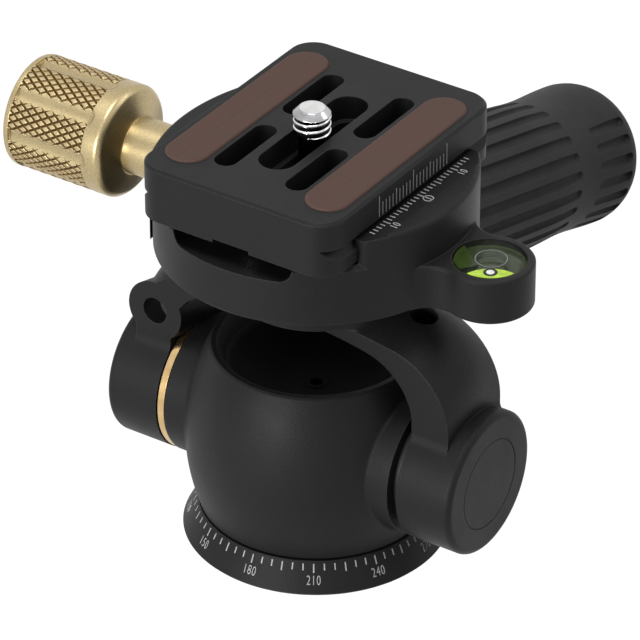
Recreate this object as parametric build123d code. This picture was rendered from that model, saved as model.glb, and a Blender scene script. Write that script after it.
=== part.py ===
"""Tripod pan head with a tilt fork, a dovetail quick-release clamp and a rubber-gripped handle.

Lengths are millimetres. The origin is the mouth of the tripod thread, in the flat underside.
+Z is up, +X runs along the tilt axis towards the bubble level, and +Y points to the back,
where the handle goes. Every piece is a separate solid in its own file in parts/.
"""
from build123d import *
import math
import os

# Driving sizes of the base and of the pan bearing
HUB_R = 11.0
BASE_LEDGE = 9.0
BASE_SLOPE = 2.7
BASE_H = 5.4
BASE_EDGE = 0.5
THREAD_R = 4.76
INSERT_WALL = 1.64
INSERT_H = 9.8
PAN_WASHER_T = 0.4
PAN_WASHER_SET_IN = 1.0
PAN_DRAG_T = 0.5
PAN_SPRING_T = 0.55
PAN_SPRING_RISE = 1.0
PAN_PLATE_T = 1.8
PAN_PLATE_REACH = 4.0
PAN_PLATE_HOLE_R = 5.2
PAN_SCREW_R = 1.25
PAN_SCREW_HEAD_R = 2.2
PAN_SCREW_HEAD_H = 1.0
PAN_SCREW_REACH = 3.6
PAN_SCREWS = 3

# Driving sizes of the housing
FOOT_SET_IN = 0.2
BELLY_SWELL = 2.3
HOUSING_RIM_R = 17.9
HOUSING_TOP = 36.3
HOUSING_FLOOR_T = 3.2
CAVITY_H = 4.0
RIM_W = 0.9
RIM_ROUND = 0.35
DISH_DEPTH = 8.2
DISH_CORNER = 3.0
TILT_Z = 20.4
BOSS_R = 12.6
BOSS_SET_IN = 0.3
BOSS_BLEND = 0.7

# Driving sizes of the tilt shaft and of what sits on it
SHAFT_R = 6.0
SHAFT_END_R = 4.0
FORK_STANDOFF = 1.8
FORK_BOSS_L = 10.3
FORK_EDGE = 1.1
COVER_R = 7.95
COVER_T = 1.1
COVER_EDGE = 0.15
BUSH_R = 7.6
BUSH_FLANGE_R = 12.45
BUSH_FLANGE_T = 1.25
BUSH_LEN = 4.3
FACE_WASHER_R = 12.1
LAND_R = 11.5
FACE_WASHER_T = 0.3
THRUST_WASHER_R = 10.5
TILT_SPRING_T = 0.8
TILT_WASHER_T = 0.8
TILT_NUT_T = 2.2
TILT_NUT_AF = 11.0
CIRCLIP_R = 7.4
CIRCLIP_T = 1.0
CIRCLIP_GROOVE = 0.8
GRUB_R = 2.0
GRUB_SOCKET_AF = 2.0
GRUB_SOCKET_DEPTH = 1.2

# Driving sizes of the fork
ARM_HALF_Y = 8.0
ARM_SET_IN = 3.2
ARCH_INNER_Z = 45.2
ARCH_SHOULDER_IN = 9.2
ARCH_SHOULDER_DROP = 1.5
ARCH_SPRING_Z = 34.0
ARM_OUTER_Z = 32.0
ARCH_CROWN_Z = 50.8
ARCH_EDGE_Z = 47.6
CROWN_CORNER_IN = 2.0
CROWN_CORNER_DROP = 7.9
CROWN_SHOULDER_IN = 2.7
EDGE_CORNER_IN = 3.0
EDGE_CORNER_DROP = 6.7
EDGE_SHOULDER_IN = 5.7
NECK_R = 14.0
NECK_LOW = 47.0
NECK_BLEND = 3.0
ARM_BLEND_SHARE = 0.65
SHOULDER_HOLE_IN = 3.1
SHOULDER_HOLE_R = 2.4
SHOULDER_HOLE_DEPTH = 2.6
SHOULDER_SCREW_R = 2.0
SHOULDER_SCREW_LEN = 3.2

# Driving sizes of the handle and of the ear that it screws into
EAR_SET_IN = 4.0
EAR_Z = 36.8
EAR_R = 5.35
EAR_SPOT = 19.3
EAR_SPOT_R = 5.5
HANDLE_DROP_DEG = 15.0
SLIT_AT = 12.0
SLIT_W = 1.0
SLIT_REACH = 10.0
EAR_BOSS_GAP = 0.3
ROD_THREAD_R = 2.3
ROD_THREAD_START = 5.0
ROD_NECK_START = 11.4
ROD_NECK_R = 3.0
ROD_R = 4.0
ROD_END = 52.0
WASHER_R = 5.2
WASHER_T = 0.6
COLLAR_R = 5.2
COLLAR_LEN = 8.0
COLLAR_EDGE = 0.8
FERRULE_R = 11.4
FERRULE_START = 36.0
FERRULE_T = 2.4
CORE_R = 8.0
CORE_END = 134.0
GRIP_END = 146.3
GRIP_NEAR_R = 12.4
GRIP_R = 13.7
GRIP_WAIST_R = 13.15
GRIP_BULB_R = 13.65
GRIP_SWELL_AT = 52.0
GRIP_WAIST_AT = 125.8
GRIP_BULB_AT = 139.8
GRIP_END_ROUND = 6.0
GRIP_DOME = 0.5
GROOVES = 24
GROOVE_R = 0.95
GROOVE_DEPTH = 0.75
GROOVE_START = 46.0
GROOVE_END = 121.7
SHORT_GROOVE_START = 128.4
SHORT_GROOVE_END = 140.2
SHORT_GROOVE_SPREAD = 3

# Driving sizes of the platform, its fixed jaw and the level
JAW_DEPTH = 7.9
NECK_H = 5.2
PLATFORM_H = 11.0
DECK_CHAMFER = 0.8
UNDER_EDGE = 0.5
JAW_TOP_GAP = 0.7
JAW_EDGE = 0.8
WINDOW_HALF_X = 11.5
WINDOW_ROUND = 2.2
WINDOW_DEPTH = 2.8
BRIDGE_HALF_Y = 6.2
STRIP_W = 3.3
STRIP_DEPTH = 0.25
LUG_REACH = 6.75
LUG_R = 7.5
LUG_H = 8.0
LUG_BLEND_R = 5.0
LUG_ROOT = 3.0
LUG_EDGE = 0.5
VIAL_R = 6.15
VIAL_DEPTH = 6.0
CUP_WALL = 0.6
LENS_T = 1.2
LENS_DOME = 0.5
BUBBLE_R = 1.2
BUBBLE_DY = 0.2
PLATFORM_SCREW_X = 6.5
PLATFORM_SCREW_Y = 9.2
PLATFORM_SCREW_R = 1.5
PLATFORM_SCREW_HEAD_R = 2.8
PLATFORM_SCREW_HEAD_H = 1.4
PLATFORM_SCREW_REACH = 14.5
SOCKET_AF = 2.0
SOCKET_DEPTH = 0.9

# Driving sizes of the moving jaw and of the gold knob
JAW_ARC_FLATTER = 7.3
JAW_ARC_X = 7.7
JAW_TRIM_OUT = 0.5
JAW_CORNER = 2.0
SKIRT_SET_IN = 4.0
SKIRT_GAP = 0.3
JAW_LIFT = 0.05
CLAMP_LIFT = 6.5
CLAMP_SCREW_R = 3.0
CLAMP_SCREW_TIP_X = -2.8
CLAMP_SCREW_END_WALL = 6.8
GUIDE_R = 1.5
GUIDE_Y = 9.5
GUIDE_LIFT = 5.0
GUIDE_REACH = 11.6
GUIDE_JAW_DEPTH = 1.2
SPRING_POCKET_R = 2.9
SPRING_POCKET_DEPTH = 6.0
SPRING_R = 2.25
SPRING_WIRE_R = 0.25
SPRING_TURNS = 4
KNOB_SEAT_SET_IN = 1.0
KNOB_WASHER_T = 0.5
KNOB_NECK_R = 5.0
KNOB_NECK_L = 9.8
KNOB_CONE_L = 1.4
KNOB_BARREL_L = 19.7
KNOB_R = 9.85
KNOB_CONE_R = 5.3
KNOB_FACE_R = 9.1
KNOB_ROUND = 0.75
KNOB_END_BAND = 1.0
KNOB_RIM_L = 3.6
KNOB_FLUTES = 8
KNOB_FLUTE_R = 3.4
KNOB_FLUTE_DEPTH = 0.55

# Driving sizes of the quick-release plate and of the camera screw
PLATE_X = 0.5
PLATE_Y = -0.5
PLATE_W = 38.0
PLATE_L = 50.0
PLATE_LIFT = 0.6
PLATE_T = 9.8
PLATE_CORNER_R = 4.7
PLATE_CHAMFER = 0.5
FLANGE_H = 2.25
GROOVE_H = 2.45
JAW_CLEAR = 0.04
PAD_W = 7.8
PAD_L = 41.6
PAD_X = 13.6
PAD_T = 1.1
PAD_PROUD = 0.3
SLOT_R = 3.25
SLOT_FRONT = -11.2
SLOT_REAR = 9.3
SLOT_STEP_DEPTH = 4.4
SLOT_NARROW_R = 2.45
HEAD_SLOT_R = 4.65
HEAD_SLOT_H = 3.6
SIDE_SLOT_R = 2.03
SIDE_SLOT_L = 15.0
SIDE_SLOT_X = 6.93
SIDE_SLOT_Y = 9.85
SIDE_SLOT_MID_Y = -0.55
NOTCH_W = 7.0
NOTCH_H = 0.6
NOTCH_L = 6.0
STOP_PIN_R = 1.6
STOP_PIN_Y = 18.6
STOP_PIN_REACH = 2.7
STOP_PIN_DEPTH = 3.4
SCREW_Y = -1.9
SCREW_R = 3.175
SCREW_NECK_R = 2.3
SCREW_HEAD_R = 4.4
SCREW_HEAD_LIFT = 0.7
SCREW_PROUD = 5.0
SCREW_THREAD_GAP = 0.1
SCREW_TIP_R = 2.2
SCREW_BEVEL = 1.0
HEAD_WASHER_T = 0.3
COIN_SLOT_W = 1.4
COIN_SLOT_DEPTH = 1.2

# Clearances and the overrun that all cuts share
RUN_GAP = 0.05
FREE_GAP = 0.2
OVERRUN = 2.0

TURN_TO_X = Rot(0, 90, 0)
FULL_TURN = 360.0


def disc(radius, low, high, x=0, y=0):
    """A cylinder along Z from low to high."""
    return Pos(x, y, (low + high) / 2) * Cylinder(radius, high - low)


def ring(outer, inner, low, high, x=0, y=0):
    """A flat ring about a Z axis."""
    return disc(outer, low, high, x, y) - disc(inner, low - OVERRUN, high + OVERRUN, x, y)


def rod_x(radius, x_low, x_high, y, z):
    """A cylinder along X from x_low to x_high."""
    return Pos((x_low + x_high) / 2, y, z) * TURN_TO_X * Cylinder(radius, x_high - x_low)


def tilt_rod(radius, x_low, x_high):
    """A cylinder on the tilt axis."""
    return rod_x(radius, x_low, x_high, 0, TILT_Z)


def tilt_ring(outer, inner, x_low, x_high):
    """A ring on the tilt axis."""
    return tilt_rod(outer, x_low, x_high) - tilt_rod(inner, x_low - OVERRUN, x_high + OVERRUN)


def block(low, high):
    """A box between two corners."""
    size = [b - a for a, b in zip(low, high)]
    middle = [(a + b) / 2 for a, b in zip(low, high)]
    return Pos(*middle) * Box(*size)


def turned(points):
    """A solid turned about Z from a closed outline of (radius, height) points."""
    outline = Polyline(*[(r, 0, z) for r, z in points], close=True)
    return revolve(make_face(outline), Axis.Z, FULL_TURN)


def turned_x(points, y, z):
    """A solid turned about an X axis from a closed outline of (x, radius) points."""
    lying = [(radius, x) for x, radius in points]
    return Pos(0, y, z) * TURN_TO_X * turned(lying)


def hex_prism(across_flats, low, high):
    """A hexagonal prism along Z."""
    outline = RegularPolygon(across_flats / 2, 6, major_radius=False)
    return Pos(0, 0, low) * extrude(outline, high - low)


def countersunk(radius, head_r, head_h, top, reach, socket_af, socket_depth):
    """A countersunk screw hanging down from its flush top, and the same shape for its hole."""
    solid = turned([(0, top - reach), (radius, top - reach), (radius, top - head_h),
                    (head_r, top), (0, top)])
    return solid - hex_prism(socket_af, top - socket_depth, top + OVERRUN), solid


def stadium(radius, y_low, y_high, low, high, x=0):
    """An upright slot cutter along Y, with round ends centred on y_low and y_high."""
    ends = disc(radius, low, high, x, y_low) + disc(radius, low, high, x, y_high)
    return ends + block((x - radius, y_low, low), (x + radius, y_high, high))


# Heights and places worked out from the driving sizes
PLATFORM_Z = ARCH_CROWN_Z + NECK_H
DECK_Z = PLATFORM_Z + PLATFORM_H
WINDOW_FLOOR = DECK_Z - WINDOW_DEPTH
LUG_TOP = PLATFORM_Z + LUG_H
CLAMP_Z = PLATFORM_Z + CLAMP_LIFT
GUIDE_Z = PLATFORM_Z + GUIDE_LIFT
PLATE_Z = DECK_Z + PLATE_LIFT
PLATE_TOP = PLATE_Z + PLATE_T
GROOVE_LOW_Z = PLATE_Z + FLANGE_H
GROOVE_TOP_Z = GROOVE_LOW_Z + GROOVE_H
JAW_TOP = GROOVE_TOP_Z - JAW_TOP_GAP
SLOT_STEP_Z = PLATE_TOP - SLOT_STEP_DEPTH
HEAD_SLOT_TOP = PLATE_Z + HEAD_SLOT_H
STOP_PIN_LOW = PLATE_Z - STOP_PIN_REACH
STOP_PIN_HIGH = PLATE_Z + STOP_PIN_DEPTH
SCREW_HEAD_LOW = PLATE_Z + SCREW_HEAD_LIFT
SCREW_THREAD_LOW = PLATE_TOP + SCREW_THREAD_GAP
SCREW_TIP = PLATE_TOP + SCREW_PROUD
ARM_BLEND = ARM_BLEND_SHARE * (BOSS_R - ARM_HALF_Y)
BASE_TOP_R = HUB_R + BASE_LEDGE
BASE_R = BASE_TOP_R + BASE_SLOPE
PAN_PLATE_R = HUB_R + PAN_PLATE_REACH
PAN_WASHER_R = BASE_TOP_R - PAN_WASHER_SET_IN
HOUSING_FOOT_R = BASE_TOP_R - FOOT_SET_IN
HOUSING_BELLY_R = HOUSING_FOOT_R + BELLY_SWELL
BOSS_FACE_X = BASE_R - BOSS_SET_IN
FORK_FACE_X = BOSS_FACE_X + FORK_STANDOFF
FORK_END_X = FORK_FACE_X + FORK_BOSS_L
ARM_X = FORK_END_X - ARM_SET_IN
ARCH_SHOULDER_X = FORK_FACE_X - ARCH_SHOULDER_IN
SHOULDER_HOLE_X = FORK_FACE_X - SHOULDER_HOLE_IN
SHOULDER_SEAT = ARCH_CROWN_Z - SHOULDER_HOLE_DEPTH - OVERRUN
EAR_X = EAR_SET_IN - ARM_X
PLATFORM_R = PLATE_W / 2 + JAW_DEPTH
LUG_X = PLATFORM_R + LUG_REACH
JAW_ARC_R = PLATFORM_R + JAW_ARC_FLATTER
JAW_TRIM_R = PLATFORM_R + JAW_TRIM_OUT
SKIRT_X = SKIRT_SET_IN - PLATFORM_R
KNOB_SEAT_X = KNOB_SEAT_SET_IN - PLATFORM_R
KNOB_CONE_X = KNOB_SEAT_X - KNOB_NECK_L
KNOB_RIM_X = KNOB_CONE_X - KNOB_CONE_L
KNOB_GRIP_X = KNOB_RIM_X - KNOB_RIM_L
KNOB_END_X = KNOB_RIM_X - KNOB_BARREL_L
CLAMP_SCREW_ROOT_X = KNOB_END_X + CLAMP_SCREW_END_WALL
HOUSING_Z = BASE_H + PAN_WASHER_T
FLOOR_TOP = HOUSING_Z + HOUSING_FLOOR_T
SPRING_LOW = FLOOR_TOP + PAN_DRAG_T
HUB_TOP = SPRING_LOW + PAN_SPRING_RISE
PAN_PLATE_TOP = HUB_TOP + PAN_PLATE_T
CAVITY_TOP = FLOOR_TOP + CAVITY_H
CAVITY_R = PAN_PLATE_R + FREE_GAP
INSERT_R = THREAD_R + INSERT_WALL
PAN_SCREW_PCR = (INSERT_R + HUB_R) / 2
DISH_FLOOR = HOUSING_TOP - DISH_DEPTH
GRUB_TOP = DISH_FLOOR
SHAFT_TOP = TILT_Z + SHAFT_R
FLANGE_OUT_X = BOSS_FACE_X + FACE_WASHER_T + BUSH_FLANGE_T
COVER_IN_X = FORK_END_X - COVER_T
BUSH_R_END = FORK_FACE_X + BUSH_LEN
NUT_IN_X = BUSH_R_END + TILT_WASHER_T + TILT_SPRING_T
NUT_OUT_X = NUT_IN_X + TILT_NUT_T
CIRCLIP_OUT_X = COVER_IN_X - FREE_GAP
CIRCLIP_IN_X = CIRCLIP_OUT_X - CIRCLIP_T
CIRCLIP_GROOVE_R = SHAFT_R - CIRCLIP_GROOVE
PLATE_HALF = PLATE_W / 2
GROOVE_IN = GROOVE_TOP_Z - GROOVE_LOW_Z
JAW_IN_X = PLATE_HALF + JAW_CLEAR
FLAT_X = SKIRT_X + SKIRT_GAP
GUIDE_REACH_X = FLAT_X + GUIDE_REACH
PLATE_AT = Pos(PLATE_X, PLATE_Y, 0)
SCREW_AT = Pos(PLATE_X, SCREW_Y, 0)
HANDLE_TURN = math.radians(HANDLE_DROP_DEG)
HANDLE_AXIS = (0, math.cos(HANDLE_TURN), -math.sin(HANDLE_TURN))
HANDLE_PLANE = Plane(origin=(EAR_X, -ARM_HALF_Y, EAR_Z), x_dir=(1, 0, 0), z_dir=HANDLE_AXIS)


def on_handle(shape):
    """Places a shape that stands on the handle's axis, with its height as the distance along it."""
    return HANDLE_PLANE.location * shape


def base_pieces():
    """The base disc with its scale cone and hub, and the tripod thread's bush."""
    disc_body = turned([(0, 0), (BASE_R - BASE_EDGE, 0), (BASE_R, BASE_EDGE),
                        (BASE_TOP_R, BASE_H), (HUB_R, BASE_H), (HUB_R, HUB_TOP), (0, HUB_TOP)])
    disc_body -= disc(INSERT_R, -OVERRUN, HUB_TOP + OVERRUN)
    insert = ring(INSERT_R, THREAD_R, 0, INSERT_H)
    pan_screws, pan_holes = pan_screw_set()
    plate = ring(PAN_PLATE_R, PAN_PLATE_HOLE_R, HUB_TOP, PAN_PLATE_TOP) - pan_holes
    spring = turned([(HUB_R + FREE_GAP, SPRING_LOW + PAN_SPRING_RISE - PAN_SPRING_T),
                     (PAN_PLATE_R - FREE_GAP, SPRING_LOW), (PAN_PLATE_R, SPRING_LOW),
                     (PAN_PLATE_R, SPRING_LOW + PAN_SPRING_T), (HUB_R + 2 * FREE_GAP, HUB_TOP),
                     (HUB_R + FREE_GAP, HUB_TOP)])
    return {
        "base_disc": disc_body - pan_holes,
        "tripod_thread_insert": insert,
        "pan_thrust_washer": ring(PAN_WASHER_R, HUB_R + FREE_GAP, BASE_H, HOUSING_Z),
        "pan_drag_washer": ring(PAN_PLATE_R, HUB_R + FREE_GAP, FLOOR_TOP, SPRING_LOW),
        "pan_disc_spring": spring,
        "pan_retaining_plate": plate,
        "pan_plate_screws": pan_screws,
    }


def pan_screw_set():
    """The countersunk screws that hold the retaining plate on the hub, and their holes."""
    screw, hole = countersunk(PAN_SCREW_R, PAN_SCREW_HEAD_R, PAN_SCREW_HEAD_H, PAN_PLATE_TOP,
                              PAN_SCREW_REACH, SOCKET_AF / 2, SOCKET_DEPTH)
    screws = []
    holes = []
    for index in range(PAN_SCREWS):
        place = Rot(0, 0, index * FULL_TURN / PAN_SCREWS) * Pos(PAN_SCREW_PCR, 0, 0)
        screws.append(place * screw)
        holes.append(place * hole)
    return Compound(children=screws), Compound(children=holes)


def housing_shell():
    """The round pan housing with its bosses, dish, cavity and cross bore."""
    foot = (HOUSING_FOOT_R, 0, HOUSING_Z)
    belly = (HOUSING_BELLY_R, 0, TILT_Z)
    shoulder = (HOUSING_RIM_R, 0, HOUSING_TOP - RIM_ROUND)
    rim = (HOUSING_RIM_R - RIM_ROUND, 0, HOUSING_TOP)
    outline = (ThreePointArc(foot, belly, shoulder) + Line(shoulder, rim) + Line(rim, (0, 0, HOUSING_TOP))
               + Line((0, 0, HOUSING_TOP), (0, 0, HOUSING_Z)) + Line((0, 0, HOUSING_Z), foot))
    body = revolve(make_face(outline), Axis.Z, FULL_TURN)
    body += tilt_rod(BOSS_R, -BOSS_FACE_X, BOSS_FACE_X)
    body = soften_bosses(body)
    dish_r = HOUSING_RIM_R - RIM_ROUND - RIM_W
    edge = (dish_r, 0, HOUSING_TOP)
    low = (0, 0, DISH_FLOOR)
    side = (dish_r - DISH_CORNER / 2, 0, HOUSING_TOP - DISH_CORNER)
    dish_line = (ThreePointArc(low, (dish_r / 2, 0, DISH_FLOOR + DISH_DEPTH / 8), side) + Line(side, edge)
                 + Line(edge, (0, 0, HOUSING_TOP)) + Line((0, 0, HOUSING_TOP), low))
    body -= revolve(make_face(dish_line), Axis.Z, FULL_TURN)
    body -= disc(HUB_R + RUN_GAP, HOUSING_Z - OVERRUN, FLOOR_TOP + OVERRUN)
    body -= disc(CAVITY_R, FLOOR_TOP, CAVITY_TOP)
    body -= tilt_rod(SHAFT_R, -BOSS_FACE_X - OVERRUN, BOSS_FACE_X + OVERRUN)
    body -= disc(GRUB_R, TILT_Z, HOUSING_TOP)
    return body


def soften_bosses(body):
    """Rounds the inner corner where each boss leaves the housing, by as much as its step allows."""
    seams = [edge for edge in body.edges()
             if BOSS_FACE_X / 2 < abs(edge.center().X) < BOSS_FACE_X - RUN_GAP
             and edge.geom_type != GeomType.CIRCLE and edge.length > BOSS_R]
    return fillet(seams, BOSS_BLEND) if seams else body


def housing_pieces():
    """The housing, the tilt shaft fixed across it and what is fixed to the shaft."""
    shaft = tilt_rod(SHAFT_R, -CIRCLIP_OUT_X, BUSH_R_END) + tilt_rod(SHAFT_END_R, BUSH_R_END, NUT_OUT_X)
    shaft -= tilt_ring(SHAFT_R + OVERRUN, CIRCLIP_GROOVE_R, -CIRCLIP_OUT_X, -CIRCLIP_IN_X)
    grub = disc(GRUB_R, SHAFT_TOP, GRUB_TOP) - hex_prism(GRUB_SOCKET_AF, GRUB_TOP - GRUB_SOCKET_DEPTH,
                                                         GRUB_TOP + OVERRUN)
    nut = Pos(0, 0, TILT_Z) * TURN_TO_X * hex_prism(TILT_NUT_AF, NUT_IN_X, NUT_OUT_X)
    return {
        "pan_housing": housing_shell(),
        "tilt_shaft": shaft,
        "shaft_grub_screw": grub,
        "shaft_circlip": tilt_ring(CIRCLIP_R, CIRCLIP_GROOVE_R, -CIRCLIP_OUT_X, -CIRCLIP_IN_X),
        "tilt_lock_nut": nut - tilt_rod(SHAFT_END_R, NUT_IN_X - OVERRUN, NUT_OUT_X + OVERRUN),
        "boss_face_washer": tilt_ring(FACE_WASHER_R, SHAFT_R, -BOSS_FACE_X - FACE_WASHER_T, -BOSS_FACE_X),
    }


def arch_section(y, corner_x, corner_z, shoulder_x, top_z):
    """One upright section of the arch at y. The corner and shoulder points shape its outer edge."""
    half_inner = ARCH_SHOULDER_X
    shoulder_z = ARCH_INNER_Z - ARCH_SHOULDER_DROP
    bend_x = (FORK_FACE_X + half_inner) / 2 + ARCH_SHOULDER_DROP
    bend_z = (shoulder_z + ARCH_SPRING_Z) / 2 + ARCH_SHOULDER_DROP
    foot_in = (FORK_FACE_X, y, TILT_Z)
    foot_out = (ARM_X, y, TILT_Z)
    spring = (FORK_FACE_X, y, ARCH_SPRING_Z)
    inner = (half_inner, y, shoulder_z)
    arm_top = (ARM_X, y, ARM_OUTER_Z)
    shoulder = (shoulder_x, y, top_z - (ARCH_CROWN_Z - ARCH_EDGE_Z) / 2)

    def left(point):
        return (-point[0], point[1], point[2])

    bend = (bend_x, y, bend_z)
    corner = (corner_x, y, corner_z)
    return make_face(
        Line(foot_in, spring) + ThreePointArc(spring, bend, inner)
        + ThreePointArc(inner, (0, y, ARCH_INNER_Z), left(inner))
        + ThreePointArc(left(inner), left(bend), left(spring)) + Line(left(spring), left(foot_in))
        + Line(left(foot_in), left(foot_out)) + Line(left(foot_out), left(arm_top))
        + ThreePointArc(left(arm_top), left(corner), left(shoulder))
        + ThreePointArc(left(shoulder), (0, y, top_z), shoulder)
        + ThreePointArc(shoulder, corner, arm_top) + Line(arm_top, foot_out) + Line(foot_out, foot_in))


def fork_arch():
    """The arch: flat inside, crowned outside, thickest in the middle of its depth."""
    edge = (ARM_X - EDGE_CORNER_IN, ARCH_EDGE_Z - EDGE_CORNER_DROP,
            FORK_FACE_X - EDGE_SHOULDER_IN, ARCH_EDGE_Z)
    crown = (ARM_X - CROWN_CORNER_IN, ARCH_CROWN_Z - CROWN_CORNER_DROP,
             FORK_FACE_X - CROWN_SHOULDER_IN, ARCH_CROWN_Z)
    return loft([arch_section(-ARM_HALF_Y, *edge), arch_section(0, *crown), arch_section(ARM_HALF_Y, *edge)])


def fork_neck():
    """The round pad under the platform."""
    return disc(NECK_R, NECK_LOW, PLATFORM_Z)


def neck_seams(body):
    """The curves where the neck's round pad meets the top of the arch."""
    return [edge for edge in body.edges().filter_by(GeomType.BSPLINE)
            if abs(math.hypot(edge.center().X, edge.center().Y) - NECK_R) < 2 * RIM_ROUND
            and NECK_LOW < edge.center().Z < PLATFORM_Z]


def arm_seams(body):
    """The straight seams where the flat faces of the arms run into the round bosses."""
    seam_z = TILT_Z + math.sqrt(BOSS_R * BOSS_R - ARM_HALF_Y * ARM_HALF_Y)
    return [edge for edge in body.edges().filter_by(GeomType.LINE)
            if abs(edge.center().Z - seam_z) < RUN_GAP and edge.length > OVERRUN]


def fork_body():
    """The tilt fork: arch, bosses, neck and ear in one piece, with its bores."""
    body = fork_arch()
    for side in (-1, 1):
        x_in, x_out = sorted((side * FORK_FACE_X, side * FORK_END_X))
        boss = tilt_rod(BOSS_R, x_in, x_out)
        outer_ring = boss.edges().filter_by(GeomType.CIRCLE).sort_by(Axis.X)[-1 if side > 0 else 0]
        body += fillet(outer_ring, FORK_EDGE)
    body += fork_neck()
    body = fillet(neck_seams(body), NECK_BLEND)
    ear = on_handle(disc(EAR_R, -EAR_R, EAR_SPOT))
    ear &= block((-FORK_END_X - EAR_R, -ARM_HALF_Y, 0), (0, FORK_END_X, PLATFORM_Z))
    body += ear
    body -= tilt_rod(BOSS_R + EAR_BOSS_GAP, -FORK_FACE_X, FORK_FACE_X)
    body += tilt_rod(LAND_R, -FORK_FACE_X, -FLANGE_OUT_X)
    body -= fork_bores()
    return fillet(arm_seams(body), ARM_BLEND)


def clamp_slit(x_high):
    """The saw cut across the ear, from its top down to the bush."""
    low = (-EAR_R - OVERRUN, -EAR_R - OVERRUN, SLIT_AT)
    high = (x_high, SLIT_REACH, SLIT_AT + SLIT_W)
    return on_handle(block(low, high))


def fork_bores():
    """Everything that is cut out of the fork."""
    cut = tilt_rod(BUSH_R, -COVER_IN_X, -FORK_FACE_X + OVERRUN)
    cut += tilt_rod(COVER_R + RUN_GAP, -FORK_END_X - OVERRUN, -COVER_IN_X)
    cut += tilt_rod(BUSH_R, FORK_FACE_X - OVERRUN, BUSH_R_END)
    cut += tilt_rod(COVER_R + RUN_GAP, BUSH_R_END, FORK_END_X + OVERRUN)
    thread = on_handle(disc(ROD_THREAD_R + RUN_GAP, -OVERRUN, SLIT_AT))
    clear = on_handle(disc(ROD_NECK_R + FREE_GAP, ROD_NECK_START - RUN_GAP, EAR_SPOT + OVERRUN))
    spot = on_handle(disc(EAR_SPOT_R, EAR_SPOT, FERRULE_START))
    cut += [thread, clear, spot, clamp_slit(EAR_R)]
    for side in (-1, 1):
        x = side * SHOULDER_HOLE_X
        cut += disc(SHOULDER_HOLE_R, SHOULDER_SEAT, PLATFORM_Z, x, 0)
        cut += disc(SHOULDER_SCREW_R, SHOULDER_SEAT - SHOULDER_SCREW_LEN, SHOULDER_SEAT, x, 0)
    cut += platform_screw_set()[1]
    return cut


def platform_screw_set():
    """The countersunk screws that hold the platform on the fork's neck, and their holes."""
    screw, hole = countersunk(PLATFORM_SCREW_R, PLATFORM_SCREW_HEAD_R, PLATFORM_SCREW_HEAD_H,
                              WINDOW_FLOOR, PLATFORM_SCREW_REACH, SOCKET_AF, SOCKET_DEPTH)
    places = [Pos(sx * PLATFORM_SCREW_X, sy * PLATFORM_SCREW_Y, 0) for sx in (-1, 1) for sy in (-1, 1)]
    return (Compound(children=[place * screw for place in places]),
            Compound(children=[place * hole for place in places]))


def fork_pieces():
    """The fork and the pieces that turn with it on the tilt shaft."""
    bush_l = tilt_rod(BUSH_R, -CIRCLIP_IN_X, -FLANGE_OUT_X) + tilt_rod(
        BUSH_FLANGE_R, -FLANGE_OUT_X, -FLANGE_OUT_X + BUSH_FLANGE_T)
    bush_l -= tilt_rod(SHAFT_R + RUN_GAP, -FORK_END_X, 0)
    bush_l -= clamp_slit(-FORK_FACE_X - EAR_X)
    spring_mid_r = (BUSH_R + SHAFT_END_R) / 2
    spring_x = BUSH_R_END + TILT_WASHER_T
    spring = turned_x([(spring_x, spring_mid_r), (spring_x, BUSH_R), (spring_x + TILT_SPRING_T / 2, BUSH_R),
                       (NUT_IN_X, spring_mid_r), (NUT_IN_X, SHAFT_END_R + RUN_GAP),
                       (NUT_IN_X - TILT_SPRING_T / 2, SHAFT_END_R + RUN_GAP)], 0, TILT_Z)
    covers = []
    for side in (-1, 1):
        x_in, x_out = sorted((side * COVER_IN_X, side * FORK_END_X))
        cover = tilt_rod(COVER_R, x_in, x_out)
        rim = cover.edges().filter_by(GeomType.CIRCLE).sort_by(Axis.X)[-1 if side > 0 else 0]
        covers.append(chamfer(rim, COVER_EDGE))
    shoulder_screw = disc(SHOULDER_SCREW_R, SHOULDER_SEAT - SHOULDER_SCREW_LEN, SHOULDER_SEAT)
    shoulder_screw -= hex_prism(SOCKET_AF, SHOULDER_SEAT - SOCKET_DEPTH, SHOULDER_SEAT + OVERRUN)
    return {
        "tilt_fork": fork_body(),
        "tilt_bush_left": bush_l,
        "tilt_bush_right": tilt_ring(BUSH_R, SHAFT_R + RUN_GAP, FORK_FACE_X, BUSH_R_END),
        "tilt_thrust_washer": tilt_ring(THRUST_WASHER_R, SHAFT_R + RUN_GAP, BOSS_FACE_X, FORK_FACE_X),
        "tilt_friction_washer": tilt_ring(BUSH_R, SHAFT_END_R + RUN_GAP, BUSH_R_END, spring_x),
        "tilt_disc_spring": spring,
        "boss_cover_left": covers[0],
        "boss_cover_right": covers[1],
        "shoulder_screws": Compound(children=[Pos(side * SHOULDER_HOLE_X, 0, 0) * shoulder_screw
                                              for side in (-1, 1)]),
        "platform_screws": platform_screw_set()[0],
    }


def jaw_outline(side):
    """The round segment that a jaw fills in plan, with softened corners. The moving one is flatter."""
    tip = PLATE_X + side * (JAW_IN_X - JAW_TOP + GROOVE_LOW_Z)
    half = Pos(tip + side * PLATFORM_R, 0) * Rectangle(2 * PLATFORM_R, 2 * PLATFORM_R)
    if side > 0:
        outline = Circle(PLATFORM_R) & half
    else:
        outline = Circle(JAW_TRIM_R) & (Pos(JAW_ARC_X, 0) * Circle(JAW_ARC_R)) & half
    return fillet(outline.vertices(), JAW_CORNER)


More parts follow.
